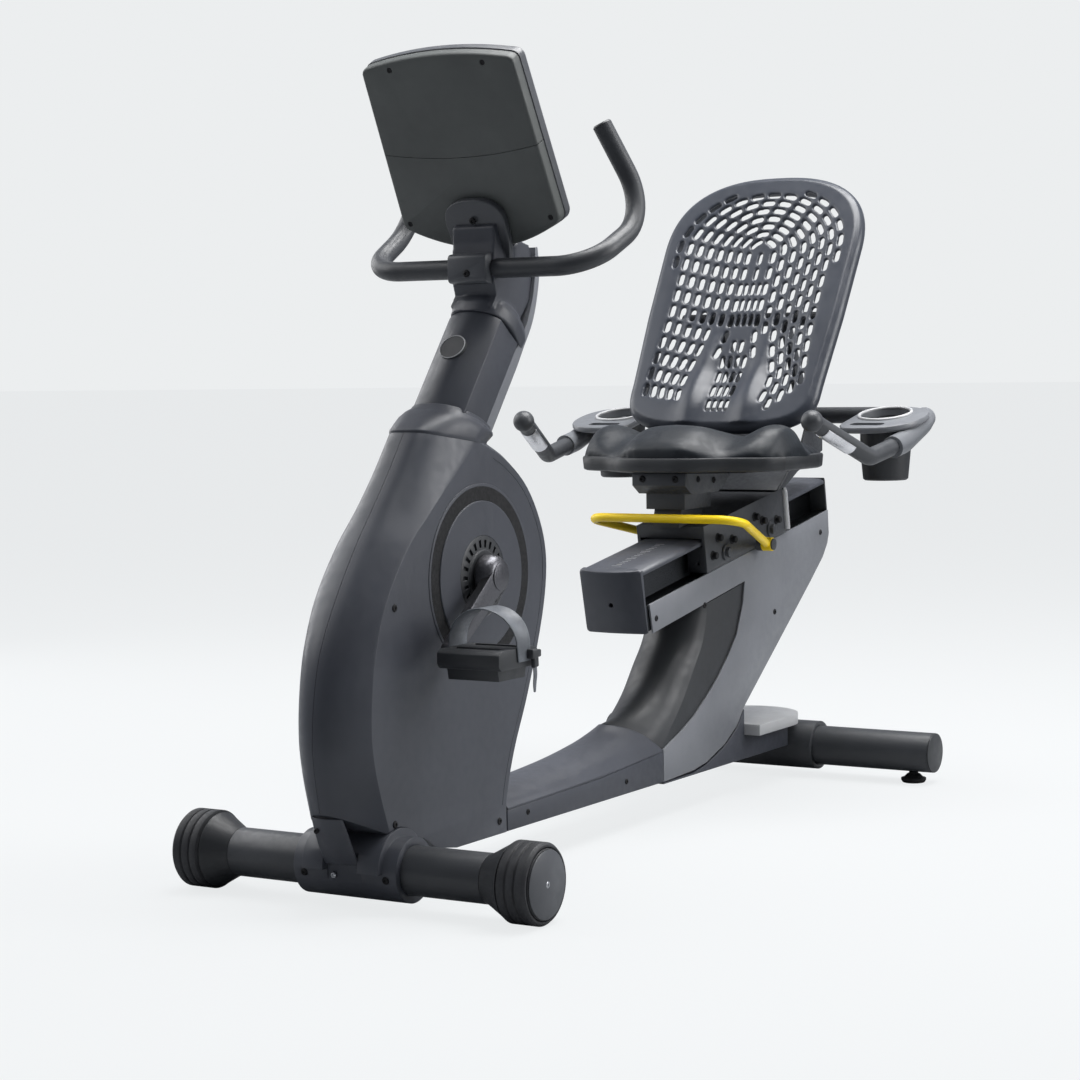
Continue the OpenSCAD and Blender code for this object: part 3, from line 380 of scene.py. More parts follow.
def make_piece(name, meshes, owner, slot_name=None, degrees=35, cutters=(), bevel=None):
    """A finished piece made of several meshes, bevelled and cut as worked() says."""
    piece = new_object(name, worked(joined(name, meshes), cutters, bevel))
    smooth_by_angle(piece.data, degrees)
    return finish_piece(piece, owner, slot_name)


def smooth_faces(piece):
    for face in piece.data.polygons:
        face.use_smooth = True


def remesh(piece, voxel, rounds=0):
    """Even mesh of the given voxel size in millimetres, then smoothed."""
    modifier = piece.modifiers.new("voxels", "REMESH")
    modifier.mode = "VOXEL"
    modifier.voxel_size = voxel / 1000
    if rounds:
        relax = piece.modifiers.new("relax", "SMOOTH")
        relax.factor = 0.5
        relax.iterations = rounds
    settle(piece)
    smooth_faces(piece)


def rounded_copy(node, edge, degrees=34.0):
    """A CAD node's shape with flat faces merged and its sharp edges rounded by edge millimetres."""
    def merge_flats(work):
        bmesh.ops.remove_doubles(work, verts=work.verts, dist=0.00002)
        bmesh.ops.dissolve_limit(work, angle_limit=radians(0.8), verts=work.verts, edges=work.edges)
    return make_piece(node + "_finish", [edit_mesh(NODES[node].data.copy(), merge_flats)], node,
            degrees=degrees, bevel=(edge, 2, degrees))


def mirrored(mesh):
    """The mesh as seen in a mirror at X = 0."""
    other = mesh.copy()
    other.transform(Matrix.Scale(-1, 4, (1, 0, 0)))
    other.flip_normals()
    return other


# ---- shapes, in millimetres of the CAD source
def mesh_from(points, faces):
    mesh = bpy.data.meshes.new("shape")
    mesh.from_pydata([tuple(at(*p)) for p in points], [], faces)
    return edit_mesh(mesh, lambda work: bmesh.ops.recalc_face_normals(work, faces=work.faces))


def loft(rings, caps=(True, True)):
    """Surface through rings that hold the same number of points, and whether its start and end are closed."""
    count = len(rings[0])
    faces = []
    for r in range(0, (len(rings) - 1) * count, count):
        for i in range(count):
            j = (i + 1) % count
            faces.append((r + i, r + j, r + count + j, r + count + i))
    for closed, start in zip(caps, (0, (len(rings) - 1) * count)):
        if closed:
            faces.append(tuple(range(start, start + count)))
    return mesh_from([p for ring in rings for p in ring], faces)


def hermite(xs, values, x):
    """Smooth curve through (xs, values), read at x."""
    x = min(max(x, xs[0]), xs[-1])
    i = max(k for k in range(len(xs) - 1) if xs[k] <= x)

    def slope(k):
        low, high = max(k - 1, 0), min(k + 1, len(xs) - 1)
        return (values[high] - values[low]) / (xs[high] - xs[low])

    h = xs[i + 1] - xs[i]
    t = (x - xs[i]) / h
    return ((2 * t ** 3 - 3 * t ** 2 + 1) * values[i] + (t ** 3 - 2 * t ** 2 + t) * h * slope(i)
            + (3 * t ** 2 - 2 * t ** 3) * values[i + 1] + (t ** 3 - t ** 2) * h * slope(i + 1))


def way_along(points):
    """Length of the line up to each of its points."""
    lengths = [0.0]
    for a, b in zip(points, points[1:]):
        lengths.append(lengths[-1] + math.dist(a, b))
    return lengths


def point_at(line, lengths, s):
    """The point s along a line of vectors."""
    i = max(k for k in range(len(line) - 1) if lengths[k] <= s)
    return line[i].lerp(line[i + 1], (s - lengths[i]) / max(1e-9, lengths[i + 1] - lengths[i]))


def heading(line, i):
    """Direction of a line of points at its i-th point."""
    return (Vector(line[min(i + 1, len(line) - 1)]) - Vector(line[max(i - 1, 0)])).normalized()


def smooth_run(points, per=5):
    """A smooth curve through the points, with per steps between each two."""
    lengths = way_along(points)
    stops = [a + (b - a) * k / per for a, b in zip(lengths, lengths[1:]) for k in range(per)]
    return [tuple(hermite(lengths, values, x) for values in zip(*points)) for x in stops] + [tuple(points[-1])]


def prism(outline, x0, x1):
    """A side outline (y, z) drawn out along X."""
    return loft([[(x, y, z) for y, z in outline] for x in (x0, x1)])


def box(x0, y0, z0, x1, y1, z1):
    return prism([(y0, z0), (y1, z0), (y1, z1), (y0, z1)], x0, x1)


def bent_path(points, bends, step=6.0):
    """Centre line of a bent tube: straight runs, and an arc of radius bends[i] at each inner point."""
    points = [Vector(p) for p in points]
    line = [points[0]]
    for i in range(1, len(points) - 1):
        before, after = (points[i] - points[i - 1]).normalized(), (points[i + 1] - points[i]).normalized()
        turn = before.angle(after)
        if turn < 0.01 or not bends[i]:
            line.append(points[i])
            continue
        start = points[i] - before * bends[i] * math.tan(turn / 2)
        axis = before.cross(after).normalized()
        centre = start + axis.cross(before) * bends[i]
        count = max(2, math.ceil(math.degrees(turn) / step))
        for k in range(count + 1):
            line.append(centre + Matrix.Rotation(turn * k / count, 3, axis) @ (start - centre))
    return line + [points[-1]]


def tube(line, radius, sides=36):
    """Round bar along a line of points; radius may be a function of the way along."""
    normal = heading(line, 0).orthogonal().normalized()
    rings = []
    for i, point in enumerate(line):
        tangent = heading(line, i)
        normal = (normal - tangent * normal.dot(tangent)).normalized()
        other = tangent.cross(normal)
        size = radius(i / (len(line) - 1)) if callable(radius) else radius
        rings.append([Vector(point) + size * (c * normal + s * other) for c, s in circle(sides)])
    return loft(rings)


def turned(profile, centre, axis, sides=48):
    """Lathe work: pairs of radius and height along the axis from the centre."""
    axis, centre = Vector(axis).normalized(), Vector(centre)
    normal = axis.orthogonal().normalized()
    other = axis.cross(normal)
    return loft([[centre + axis * height + max(r, 0.01) * (c * normal + s * other)
            for c, s in circle(sides)] for r, height in profile])


# ---- shroud
BODY_HALF = 66.0
WALL = 0.003
# how late each nose point swings back to the side face, from the top down
NOSE_FULLNESS = [3.4, 3.1, 2.8, 2.6, 2.4, 2.2, 2.1, 2.0, 2.0, 2.0]
NOSE_MIDDLE = [(136, 718), (84, 649), (43, 600), (2, 552), (-58, 468), (-98, 395), (-116, 326), (-122, 255),
        (-115, 199), (-107, 156)]
NOSE_SIDE = [(234, 700), (165, 643), (104, 594), (43, 545), (-18, 467), (-48, 395), (-60, 330), (-63, 265),
        (-52, 205), (-21, 116)]
TAIL_MIDDLE = [(308, 66), (316, 121), (342, 194), (385, 278), (436, 402), (452, 487), (440, 551), (396, 623),
        (346, 670), (310, 691)]
TAIL_SIDE = [(306, 66), (308, 121), (333, 195), (376, 280), (426, 403), (442, 486), (430, 548), (386, 617),
        (320, 665), (239, 697)]
SOLE = [(0, 106), (70, 96), (105, 75), (159, 66)]
WHEEL_CENTRE = (0, 0, 61.7)


def swung(middle, side, shares):
    return [tuple(a + (b - a) * share for a, b in zip(p, q)) for p, q, share in zip(middle, side, shares)]


def mast_box(x0, x1, y0, y1, w0, w1):
    return loft([[mast(x, y, w) for x, y in ((x0, y0), (x1, y0), (x1, y1), (x0, y1))] for w in (w0, w1)])


def make_shroud():
    """Two blown-out half shells with a wall, a crease round each side face and a trim line at the rear."""
    rings = []
    for k in [i / 14 for i in range(13)] + [0.93, 0.97, 1.0]:
        outline = smooth_run(swung(NOSE_MIDDLE, NOSE_SIDE, [k ** late for late in NOSE_FULLNESS])) + SOLE
        outline += smooth_run(swung(TAIL_MIDDLE, TAIL_SIDE, [k ** 4] * len(TAIL_SIDE)))
        rings.append([(0.3 + k * (BODY_HALF - 0.3), y, z) for y, z in outline])
    piece = add_bevel(new_object("shroud_left_shell", loft(rings, (False, True))), 2.2, 3, 24)
    wall = piece.modifiers.new("wall", "SOLIDIFY")
    wall.thickness = WALL
    wall.offset = -1
    settle(piece)
    seam, trim = smooth_run(TAIL_SIDE), []
    for i, (y, z) in enumerate(seam):
        along = heading(seam, i)
        trim.append((BODY_HALF, y - along.y * 12, z + along.x * 12))
    cut(piece, [
        turned([(62.8, -1), (62.8, 80)], WHEEL_CENTRE, (1, 0, 0), 64), box(-1, -20, 50, 45.6, 82, 106),
        box(-1, 60, 60, 30.6, 340, 118.6), mast_box(-1, 50.6, -0.6, 91, -18, 80), mast_box(-1, 22, 28, 76, -160, 0),
        prism([(-130, 50), (-45, 50), (-45, 80), (-96, 150.2), (-107, 152), (-130, 152)], -1, 32),
        tube(trim[4:-3], 0.8, 8), ])
    smooth_by_angle(piece.data, 30)
    other = new_object("shroud_right_shell", mirrored(piece.data))
    finish_piece(piece, "shroud_left")
    finish_piece(other, "shroud_right")


def section_ring(point, count=28):
    """Closed ring: point(s, 0) along the front from s = -1 to 1, point(s, 1) back along the rear."""
    steps = across(count)
    return [point(s, 0) for s in steps] + [point(s, 1) for s in reversed(steps[1:-1])]


def sleeve_ring(half, front, rear, lift):
    """Ring round the mast: rounded in front, nearly flat behind, at a height lift(s, y) of the mast's frame."""
    def point(s, side):
        y = (62 - front * (1 - abs(s) ** 3) ** 0.5, 62 + rear * (1 - abs(s) ** 10))[side]
        return mast(half * s, y, lift(s, y))
    return section_ring(point)


def make_collar():
    """Skirt between the shroud's top and the mast, flush with the shroud below."""
    def foot(drop, grow):
        def point(s, rear):
            y = (134.5 - grow + (98.5 + grow) * abs(s) ** 3.4, 312 + grow - (72 + grow) * abs(s) ** 4)[rear]
            return (BODY_HALF + grow) * s, y, 718 - 0.155 * (y - 136) - drop
        return section_ring(point)

    def top(lift, grow):
        return sleeve_ring(57 + grow, 66 + grow, 55 + grow, lambda s, y: lift + 0.3 * y)

    low, high = foot(0, 1.6), top(-6, 0)
    pairs = [(Vector(a), Vector(b)) for a, b in zip(low, high)]
    shoulder = [[a.lerp(b, share) + (a - Vector((0, 215, a.z))).normalized() * swell for a, b in pairs]
            for share, swell in ((0.3, 4), (0.62, 7), (0.86, 5))]
    half = 50.4
    mast_front = [(half * s, 62.5 - (62.9 ** 2 - (half * s) ** 2) ** 0.5) for s in (k / 12 - 1 for k in range(25))]
    cutters = [mast_box(-50.6, 50.6, 22, 91, -60, 140),
            loft([[mast(x, y, w) for x, y in mast_front + [(half, 40), (-half, 40)]] for w in (-60, 140)]),
            mast_box(-46.6, 46.6, 60, 108, 20, 140)]
    make_piece("collar_skirt", [loft([foot(7, 1.2), low] + shoulder + [high, top(1, -1.5)])], "shroud_collar",
            degrees=34, cutters=cutters, bevel=(2.4, 3, 28))


def make_nose_plate():
    """Access plate low on the nose, bent round it."""
    rows, count = ((72, -59, 31, 3), (98, -78, 31, 8), (124, -93, 30, 12), (149, -103, 28, 13)), 17
    points = [(x, y + sweep * (x / 31) ** 2 + depth, z) for depth in (0, 4) for z, y, half, sweep in rows
            for x in (half * (k / 8 - 1) for k in range(count))]
    faces, behind = [], len(points) // 2
    for start in [r * count + i for r in range(3) for i in range(count - 1)]:
        quad = (start, start + 1, start + count + 1, start + count)
        faces += [quad, tuple(i + behind for i in reversed(quad))]
    edge = (list(range(count)) + [r * count + count - 1 for r in (1, 2, 3)]
            + [3 * count + i for i in reversed(range(count - 1))] + [r * count for r in (2, 1)])
    faces += [(a, b, b + behind, a + behind) for a, b in zip(edge, edge[1:] + edge[:1])]
    make_piece("nose_plate_bent", [mesh_from(points, faces)], "nose_plate", degrees=40, bevel=(1.4, 2, 50))


# ---- crank covers and pedal straps
CRANK = Vector((0, 241, 485))
CRANK_LEN = 172.0
CRANK_TILT = radians(36.5)


def crank_turned(side, profile):
    return turned(profile, CRANK, (side, 0, 0), 96)


def make_crank_covers():
    """Flush round covers: a dark ring let into each, and a vented ring round the crank."""
    discs, hubs, grooves, bosses = [], [], [], []
    for side in SIDES:
        discs.append(crank_turned(side, [
            (64, 66.2), (64, 70.2), (65, 70.9), (117.6, 69.4), (118.6, 68.8), (119, 66.9), (141, 66.8),
            (141.6, 67.4), (146, 66.8), (146.5, 66.2)]))
        grooves.append(crank_turned(side, [(118.9, 66.3), (118.9, 67.4), (141.2, 67.3), (141.2, 66.3)]))
        vents = [loft([[(side * x, CRANK.y + r * c - w * s, CRANK.z + r * s + w * c)
                for r, w in ((45, -2.6), (57, -3.3), (57, 3.3), (45, 2.6))] for x in (68, 76)])
                for c, s in circle(22)]
        hubs.append(worked(crank_turned(side, [
            (24, 66.3), (24, 72.4), (26, 73.4), (40, 73.4), (42, 71.8), (62, 71.2), (64.4, 70),
            (64.4, 66.3)]), vents))
        bosses.append(crank_turned(side, [(9, 74.5), (32, 74.5), (34.5, 77), (34.5, 91), (31, 98), (26, 103),
                (22, 104.5), (9, 104.5)]))
    make_piece("crank_cover_discs", discs, "crank_covers", degrees=25)
    make_piece("crank_cover_rings", hubs, "crank_covers", "dark_plastic", 25)
    make_piece("crank_cover_grooves", grooves, "crank_covers", "belt_rubber")
    make_piece("crank_bosses", bosses, "crank_axle", "crank_metal")


def make_straps():
    """Curved band over each foot, a buckle at its outer end and a loose tail under that."""
    for side, node in ((1, "strap_left"), (-1, "strap_right")):
        reach = side * CRANK_LEN
        cy, cz = CRANK.y - reach * cos(CRANK_TILT), CRANK.z - reach * sin(CRANK_TILT)

        def bar(outline, x0, x1):
            return prism([(cy + y, cz + z) for y, z in outline], side * x0, side * x1)
        line = [(108.4, -14), (108.4, 0), (108.6, 14)]
        line += [(165 - 56.5 * c, 12 + 56.5 * s ** 0.92) for c, s in half_turn(26)[1:-1]]
        line += [(221.5, 10), (221.6, 0), (221.6, -12)]
        rings = []
        for i, (x, z) in enumerate(line):
            along = heading(line, i)
            share = i / (len(line) - 1)
            half = 25 - 8 * max(0.0, share - 0.6) / 0.4
            middle = cy + 5 + 9 * max(0.0, share - 0.55) / 0.45
            section = [(-half, -0.5), (-half + 1, -1.2), (half - 1, -1.2), (half, -0.5), (half, 0.5),
                    (half - 1, 1.2), (half - 3, 1.2), (half - 3.6, 0.7), (-half + 3.6, 0.7),
                    (-half + 3, 1.2), (-half + 1, 1.2), (-half, 0.5)]
            rings.append([(side * (x - along.y * t), middle + y, cz + z + along.x * t) for y, t in section])
        buckle = [bar([(21, -9), (46, -7), (46, 4), (21, 6)], 220.6, 233),
                bar([(31, -24), (44, -22), (43, -6), (30, -8)], 223, 230)]
        tail = []
        for i, (x, y, z) in enumerate(smooth_run([(226, 37, -20), (226.4, 37.5, -34), (225.5, 37, -48),
                (225.6, 36.5, -61)], 4)):
            half = 4.6 - 2.6 * (i / 12) ** 3
            tail.append([(side * x + dx, cy + y + dy, cz + z)
                    for dx, dy in ((-0.8, -half), (0.8, -half), (0.8, half), (-0.8, half))])
        make_piece(node + "_band", [loft(rings), loft(tail)], node, degrees=40)
        make_piece(node + "_buckle", buckle, node, "dark_plastic", 40, bevel=(2, 3))


# ---- covers of the beam and the upright
ROOF_X = [0, 30, 50, 58, BODY_HALF]
ROOF_TOP = [
    [(321, 127.4), (420, 132), (560, 143), (660, 156), (710, 168), (735, 180)],
    [(321, 124.4), (430, 129), (575, 139), (680, 152), (735, 163), (765, 171)],
    [(317.5, 115.4), (440, 119), (590, 128), (700, 141), (752, 150), (790, 157)],
    [(314.5, 109.2), (440, 112), (590, 120), (700, 131), (760, 139), (806, 145)],
    [(310.5, 104), (440, 106.4), (600, 110.8), (720, 116.5), (790, 121.5), (834, 124.5)]]
ROOF_END = [(735, 119.2), (765, 119.6), (790, 120), (806, 120.5), (834, 121.2)]
ROOF_CAVITY = [(290, 80), (745, 80), (730, 142), (700, 136), (590, 124), (440, 115), (290, 111)]
PILLAR_X = [0, 22, 42, 55, 62.3]
PILLAR_FRONT = [
    [(736.5, 181), (795, 189), (862, 222), (912, 268), (950, 306), (978, 352), (984, 366)],
    [(763, 170), (801, 182), (866, 217), (916, 266), (955, 305), (982, 352), (987, 366)],
    [(787, 156), (819, 170), (880, 213), (929, 266), (968, 305), (990, 352), (994, 367)],
    [(806, 142), (838, 162), (896, 206), (944, 260), (982, 304), (1002, 352), (1006, 369)],
    [(836, 127), (862, 152), (915, 200), (962, 256), (999, 304), (1015, 352), (1018, 371)]]
PILLAR_REAR = [(1182, 399.5), (1180, 352), (1152, 292), (1075, 214), (966, 148), (868, 124), (839, 121.8)]
PILLAR_CAVITY = [(850, 112), (1260, 112), (1260, 440), (1020, 440), (1010, 352), (990, 304), (953, 260),
        (905, 206), (850, 162)]


def crowned(stations, outlines, steps=36):
    """Full-width moulding: outlines for one half, spread smoothly over both."""
    xs = [-x for x in reversed(stations[1:])] + stations
    full = list(reversed(outlines[1:])) + outlines
    rings = []
    for x in (xs[-1] * s for s in across(steps)):
        rings.append([(x, hermite(xs, [o[i][0] for o in full], x), hermite(xs, [o[i][1] for o in full], x))
                for i in range(len(full[0]))])
    return [loft(rings)]


def make_base_covers():
    roof = [smooth_run(top) + [end, (616, 108), (414, 103), (top[0][0], 101)]
            for top, end in zip(ROOF_TOP, ROOF_END)]
    make_piece("beam_roof", crowned(ROOF_X, roof), "beam_cover_upper", degrees=36,
            cutters=[prism(ROOF_CAVITY, -49, 49), box(-31, 290, 60, 31, 860, 118.6)])
    pillar = [smooth_run(front) + smooth_run(PILLAR_REAR) for front in PILLAR_FRONT]
    make_piece("upright_moulding", crowned(PILLAR_X, pillar), "pillar_cover", degrees=36,
            cutters=[prism(PILLAR_CAVITY, -54, 54)])


# ---- backrest
BACK_HALF, BACK_LEN = 213.0, 561.0
BACK_FOOT_HALF = 202
# heights where the foot's and the crown's curves begin, and the depth of the foot's
FOOT_Z, CROWN_Z, FOOT_DEPTH = 90, 390, 104


def back_half_width(z):
    if z > CROWN_Z:
        return BACK_HALF * max(0.0, 1 - ((z - CROWN_Z) / (BACK_LEN - CROWN_Z)) ** 2.5) ** (1 / 2.5)
    if z < FOOT_Z:
        return BACK_FOOT_HALF * max(0.0, 1 - ((FOOT_Z - z) / FOOT_DEPTH) ** 3.4) ** (1 / 3.4)
    return BACK_FOOT_HALF + (BACK_HALF - BACK_FOOT_HALF) * sin((z - FOOT_Z) / (CROWN_Z - FOOT_Z) * pi / 2)


def back_outline(inset=0.0, count=160):
    """Rounded outline of the backrest, anticlockwise: pairs of a point (x, z) and the way inward."""
    raw = []
    for k in range(61):
        turn = pi * (k / 60 - 0.5)
        z = CROWN_Z + (BACK_LEN - CROWN_Z) * sin(turn) if turn > 0 else FOOT_Z + FOOT_DEPTH * sin(turn)
        raw.append((back_half_width(z), z))
    raw.insert(31, (back_half_width(240), 240))
    raw += [(-x, z) for x, z in reversed(raw[1:-1])]
    raw = [Vector((max(-BACK_HALF, min(BACK_HALF, x)), z)) for x, z in raw + raw[:1]]
    lengths = way_along(raw)
    even = [point_at(raw, lengths, lengths[-1] * k / count) for k in range(count)]
    result = []
    for i, point in enumerate(even):
        along = (even[(i + 1) % count] - even[i - 1]).normalized()
        inward = Vector((-along.y, along.x))
        result.append((point + inward * inset, inward))
    return result


def capsule(line, width):
    """Round-ended slot around a short line of points."""
    half = width / 2
    loop = []
    for points in (line, line[::-1]):
        for i, point in enumerate(points):
            along = heading(points, i)
            loop.append(Vector(point) + Vector((along.y, -along.x)) * half)
        loop += [Vector(points[-1]) + half * (s * along + c * Vector((along.y, -along.x)))
                for c, s in half_turn(6)[1:-1]]
    return loop


def slot_lines():
    """Paths of the slots, with slot width and phase: nested arches over a middle column and a foot."""
    paths = []
    for row, reach in enumerate((27, 48, 69, 90, 111, 132, 153, 174, 193)):
        right = [(reach + 27 * exp(-((z - 85) / 85) ** 2) * (1 - (reach / 190) ** 2), z) for z in range(4, 391, 10)]
        arch = [(reach * c, CROWN_Z + (0.74 * reach + 8) * s) for c, s in half_turn(24)[1:-1]]
        paths.append((right + arch + [(-x, z) for x, z in reversed(right)], 9.4, 0.5 * (row % 2)))
    for x in (-13.5, 0, 13.5):
        paths.append(([(x * (1 + max(0, z - 300) / 260), z) for z in range(212, 411, 8)], 7.0, 0.15))
    for x in (-25, -8.5, 8.5, 25):
        paths.append(([(x * (0.72 + z / 700), z) for z in range(8, 204, 8)], 7.6, 0.3))
    return paths


def back_slots():
    """Slots as closed loops of (x, z), none too near another, the rim or the lobes."""
    outline = [p for p, _ in back_outline()]
    loops, middles = [], []
    for path, width, phase in slot_lines():
        path = [Vector(p) for p in path]
        lengths = way_along(path)
        wide = width > 8.5
        dash, pitch = (27.5, 36.0) if wide else (27.0, 35.0)
        start = 6 + phase * pitch
        while start + dash < lengths[-1] - 4:
            line = [point_at(path, lengths, start + width / 2 + (dash - width) * k / 4) for k in range(5)]
            start += pitch
            lobe = wide and any(((abs(p.x) - 60) / 19) ** 2 + ((p.y - 92) / 124) ** 2 < 1 for p in line)
            plain = abs(line[2].x) > 160 and (330 < line[2].y < 362 or 150 < line[2].y < 178)
            edge = min((p - q).length for p in line for q in outline) < 33 + width / 2
            near = any((p - q).length < (width + other) / 2 + 3.2 for p in line for q, other in middles)
            if not (lobe or plain or edge or near):
                loops.append(capsule(line, width))
                middles += [(p, width) for p in line]
    return loops


def ease(t):
    """Smooth step from 0 at t = 0 to 1 at t = 1."""
    t = min(1.0, max(0.0, t))
    return t * t * (3 - 2 * t)


def make_backrest():
    """Dished panel with slots and two lobes, run smoothly into a thick rim."""
    curve = bpy.data.curves.new("back_panel", "CURVE")
    curve.dimensions = "2D"
    curve.fill_mode = "BOTH"
    curve.extrude = 0.0038
    for loop in [[p for p, _ in back_outline(12.0)]] + back_slots():
        spline = curve.splines.new("POLY")
        spline.points.add(len(loop) - 1)
        for control, p in zip(spline.points, loop):
            control.co = (p[0] / 1000, p[1] / 1000, 0, 1)
        spline.use_cyclic_u = True
    flat = new_object("back_panel", curve)
    mesh = bpy.data.meshes.new_from_object(flat.evaluated_get(bpy.context.evaluated_depsgraph_get()))
    bpy.data.objects.remove(flat)
    panel = new_object("backrest_shell", mesh)
    remesh(panel, 2.4)
    for vertex in panel.data.vertices:
        x, z, depth = (1000 * c for c in vertex.co)
        dish = 5 + 19 * ease((back_half_width(z) - abs(x) - 34) / 110) * ease(
            (min(z + 14, BACK_LEN - z) - 40) / 110)
        lobe = 11 * exp(-((abs(x) - 60) / 21) ** 2 - ((z - 92) / 100) ** 2)
        vertex.co = at(*back(x, dish - lobe + depth, z))
    rings = []
    for point, inward in back_outline():
        rings.append([back(point.x + inward.x * d, 19.5 + 18 * s, point.y + inward.y * d)
                for d, s in ((19 + 18.5 * c, s) for c, s in circle(16))])

    def close_ring(work):
        bmesh.ops.remove_doubles(work, verts=work.verts, dist=0.00005)
        bmesh.ops.recalc_face_normals(work, faces=work.faces)
    panel.data = joined("backrest", [panel.data, edit_mesh(loft(rings + rings[:1], (False, False)), close_ring)])
    remesh(panel, 2.2, 5)
    finish_piece(panel, "backrest")


# ---- cushion
CUSHION_FRONT = [(0, 931), (45, 933), (75, 943), (100, 960), (125, 976), (150, 986), (175, 997), (195, 1014),
        (210, 1046)]
CUSHION_REAR = [(0, 1280), (75, 1280), (135, 1276), (165, 1266), (188, 1246), (204, 1214), (210, 1186)]
# share of the way to the rear, then heights of the top across the cushion
CUSHION_TOP = [(0, [(0, 666), (60, 663), (110, 648), (165, 657), (210, 644)]),
        (0.2, [(0, 694), (55, 689), (110, 668), (165, 690), (195, 683), (210, 656)]),
        (0.45, [(0, 684), (55, 680), (110, 670), (165, 690), (195, 685), (210, 658)]),
        (0.6, [(0, 668), (100, 664), (160, 672), (195, 668), (210, 650)]),
        (0.8, [(0, 654), (100, 654), (160, 658), (195, 655), (210, 642)]), (1, [(0, 648), (160, 650), (210, 640)])]
CLOTH_FRAMES = 20
MOST_MOVE = 0.005
CLOTH = {"quality": 5, "mass": 0.3, "tension_stiffness": 25, "compression_stiffness": 25,
        "bending_stiffness": 4, "use_pressure": True, "uniform_pressure_force": 4, "vertex_group_mass": "held"}


def lookup(value, table):
    return hermite(*zip(*table), value)


def cushion_ring(x):
    a = abs(x)
    front, rear = lookup(a, CUSHION_FRONT), lookup(a, CUSHION_REAR)
    pinch = max(0.0, (a - 196) / 14)
    bottom = 617.5 + 6 * pinch
    rows = [(share, lookup(a, row)) for share, row in CUSHION_TOP]
    ring = [(front + 16, bottom), (rear - 16, bottom), (rear - 4, bottom + 8)]
    for t in (1 - j / 32 for j in range(33)):
        edge = max(0.0, 1 - min(t, 1 - t) / 0.06)
        ring.append((front + (rear - front) * t, lookup(t, rows) - 9 * edge ** 2 - 3 * pinch))
    return [(x, y, z) for y, z in ring + [(front + 3, bottom + 9)]]


def fill_out(piece):
    """Puffs the piece up with a cloth run, held at its foot, and caps how far each point moves."""
    start = [v.co.copy() for v in piece.data.vertices]
    floor_z = at(0, 0, 626).z
    piece.vertex_groups.new(name="held").add([i for i, co in enumerate(start) if co.z < floor_z], 1.0, "REPLACE")
    cloth = piece.modifiers.new("cloth", "CLOTH")
    for name, value in CLOTH.items():
        setattr(cloth.settings, name, value)
    cloth.settings.effector_weights.gravity = 0
    cloth.collision_settings.use_collision = False
    cloth.point_cache.frame_start, cloth.point_cache.frame_end = 1, CLOTH_FRAMES
    for number in range(1, CLOTH_FRAMES + 1):
        bpy.context.scene.frame_set(number)
    settle(piece)
    bpy.context.scene.frame_set(1)
    for vertex, old in zip(piece.data.vertices, start):
        move = vertex.co - old
        if move.length > MOST_MOVE:
            vertex.co = old + move.normalized() * MOST_MOVE


def make_cushion():
    """Saddle cushion with a raised pommel, a dip under each thigh and raised wings, on a thin pan."""
    piece = new_object("cushion_pad", loft([cushion_ring(209 * s) for s in across(70)]))
    remesh(piece, 5.0, 4)
    fill_out(piece)
    subdivision = piece.modifiers.new("fine", "SUBSURF")
    subdivision.levels = subdivision.render_levels = 1
    settle(piece)
    smooth_faces(piece)
    finish_piece(piece, "seat_cushion")
    xs = [209.5 * s for s in across(96)]
    plan = [(x, lookup(abs(x), CUSHION_FRONT)) for x in xs]
    plan += [(x, lookup(abs(x), CUSHION_REAR)) for x in xs[-2:0:-1]]
    make_piece("cushion_pan", [loft([
        [(x * (1 - inset / 205), 1112 + (y - 1112) * (1 - inset / 170), height) for x, y in plan]
        for height, inset in ((614, 5), (616, 1), (618, 0), (637, -1.5), (640, 0), (641, 6))])],
        "seat_cushion", "dark_plastic", 40)


# ---- tubes
BAR_PATH = [(-169, 466, 1198), (-229, 510, 1053), (-212, 348, 970), (212, 348, 970), (229, 510, 1053),
        (169, 466, 1198)]
ARM_SIDE = [(299, 970, 707), (340, 1124, 637), (352, 1250, 660), (352, 1335, 690), (330, 1410, 703),
        (250, 1440, 705)]
ARM_BEND = [0, 34, 90, 90, 60, 40, 40, 60, 90, 90, 34, 0]


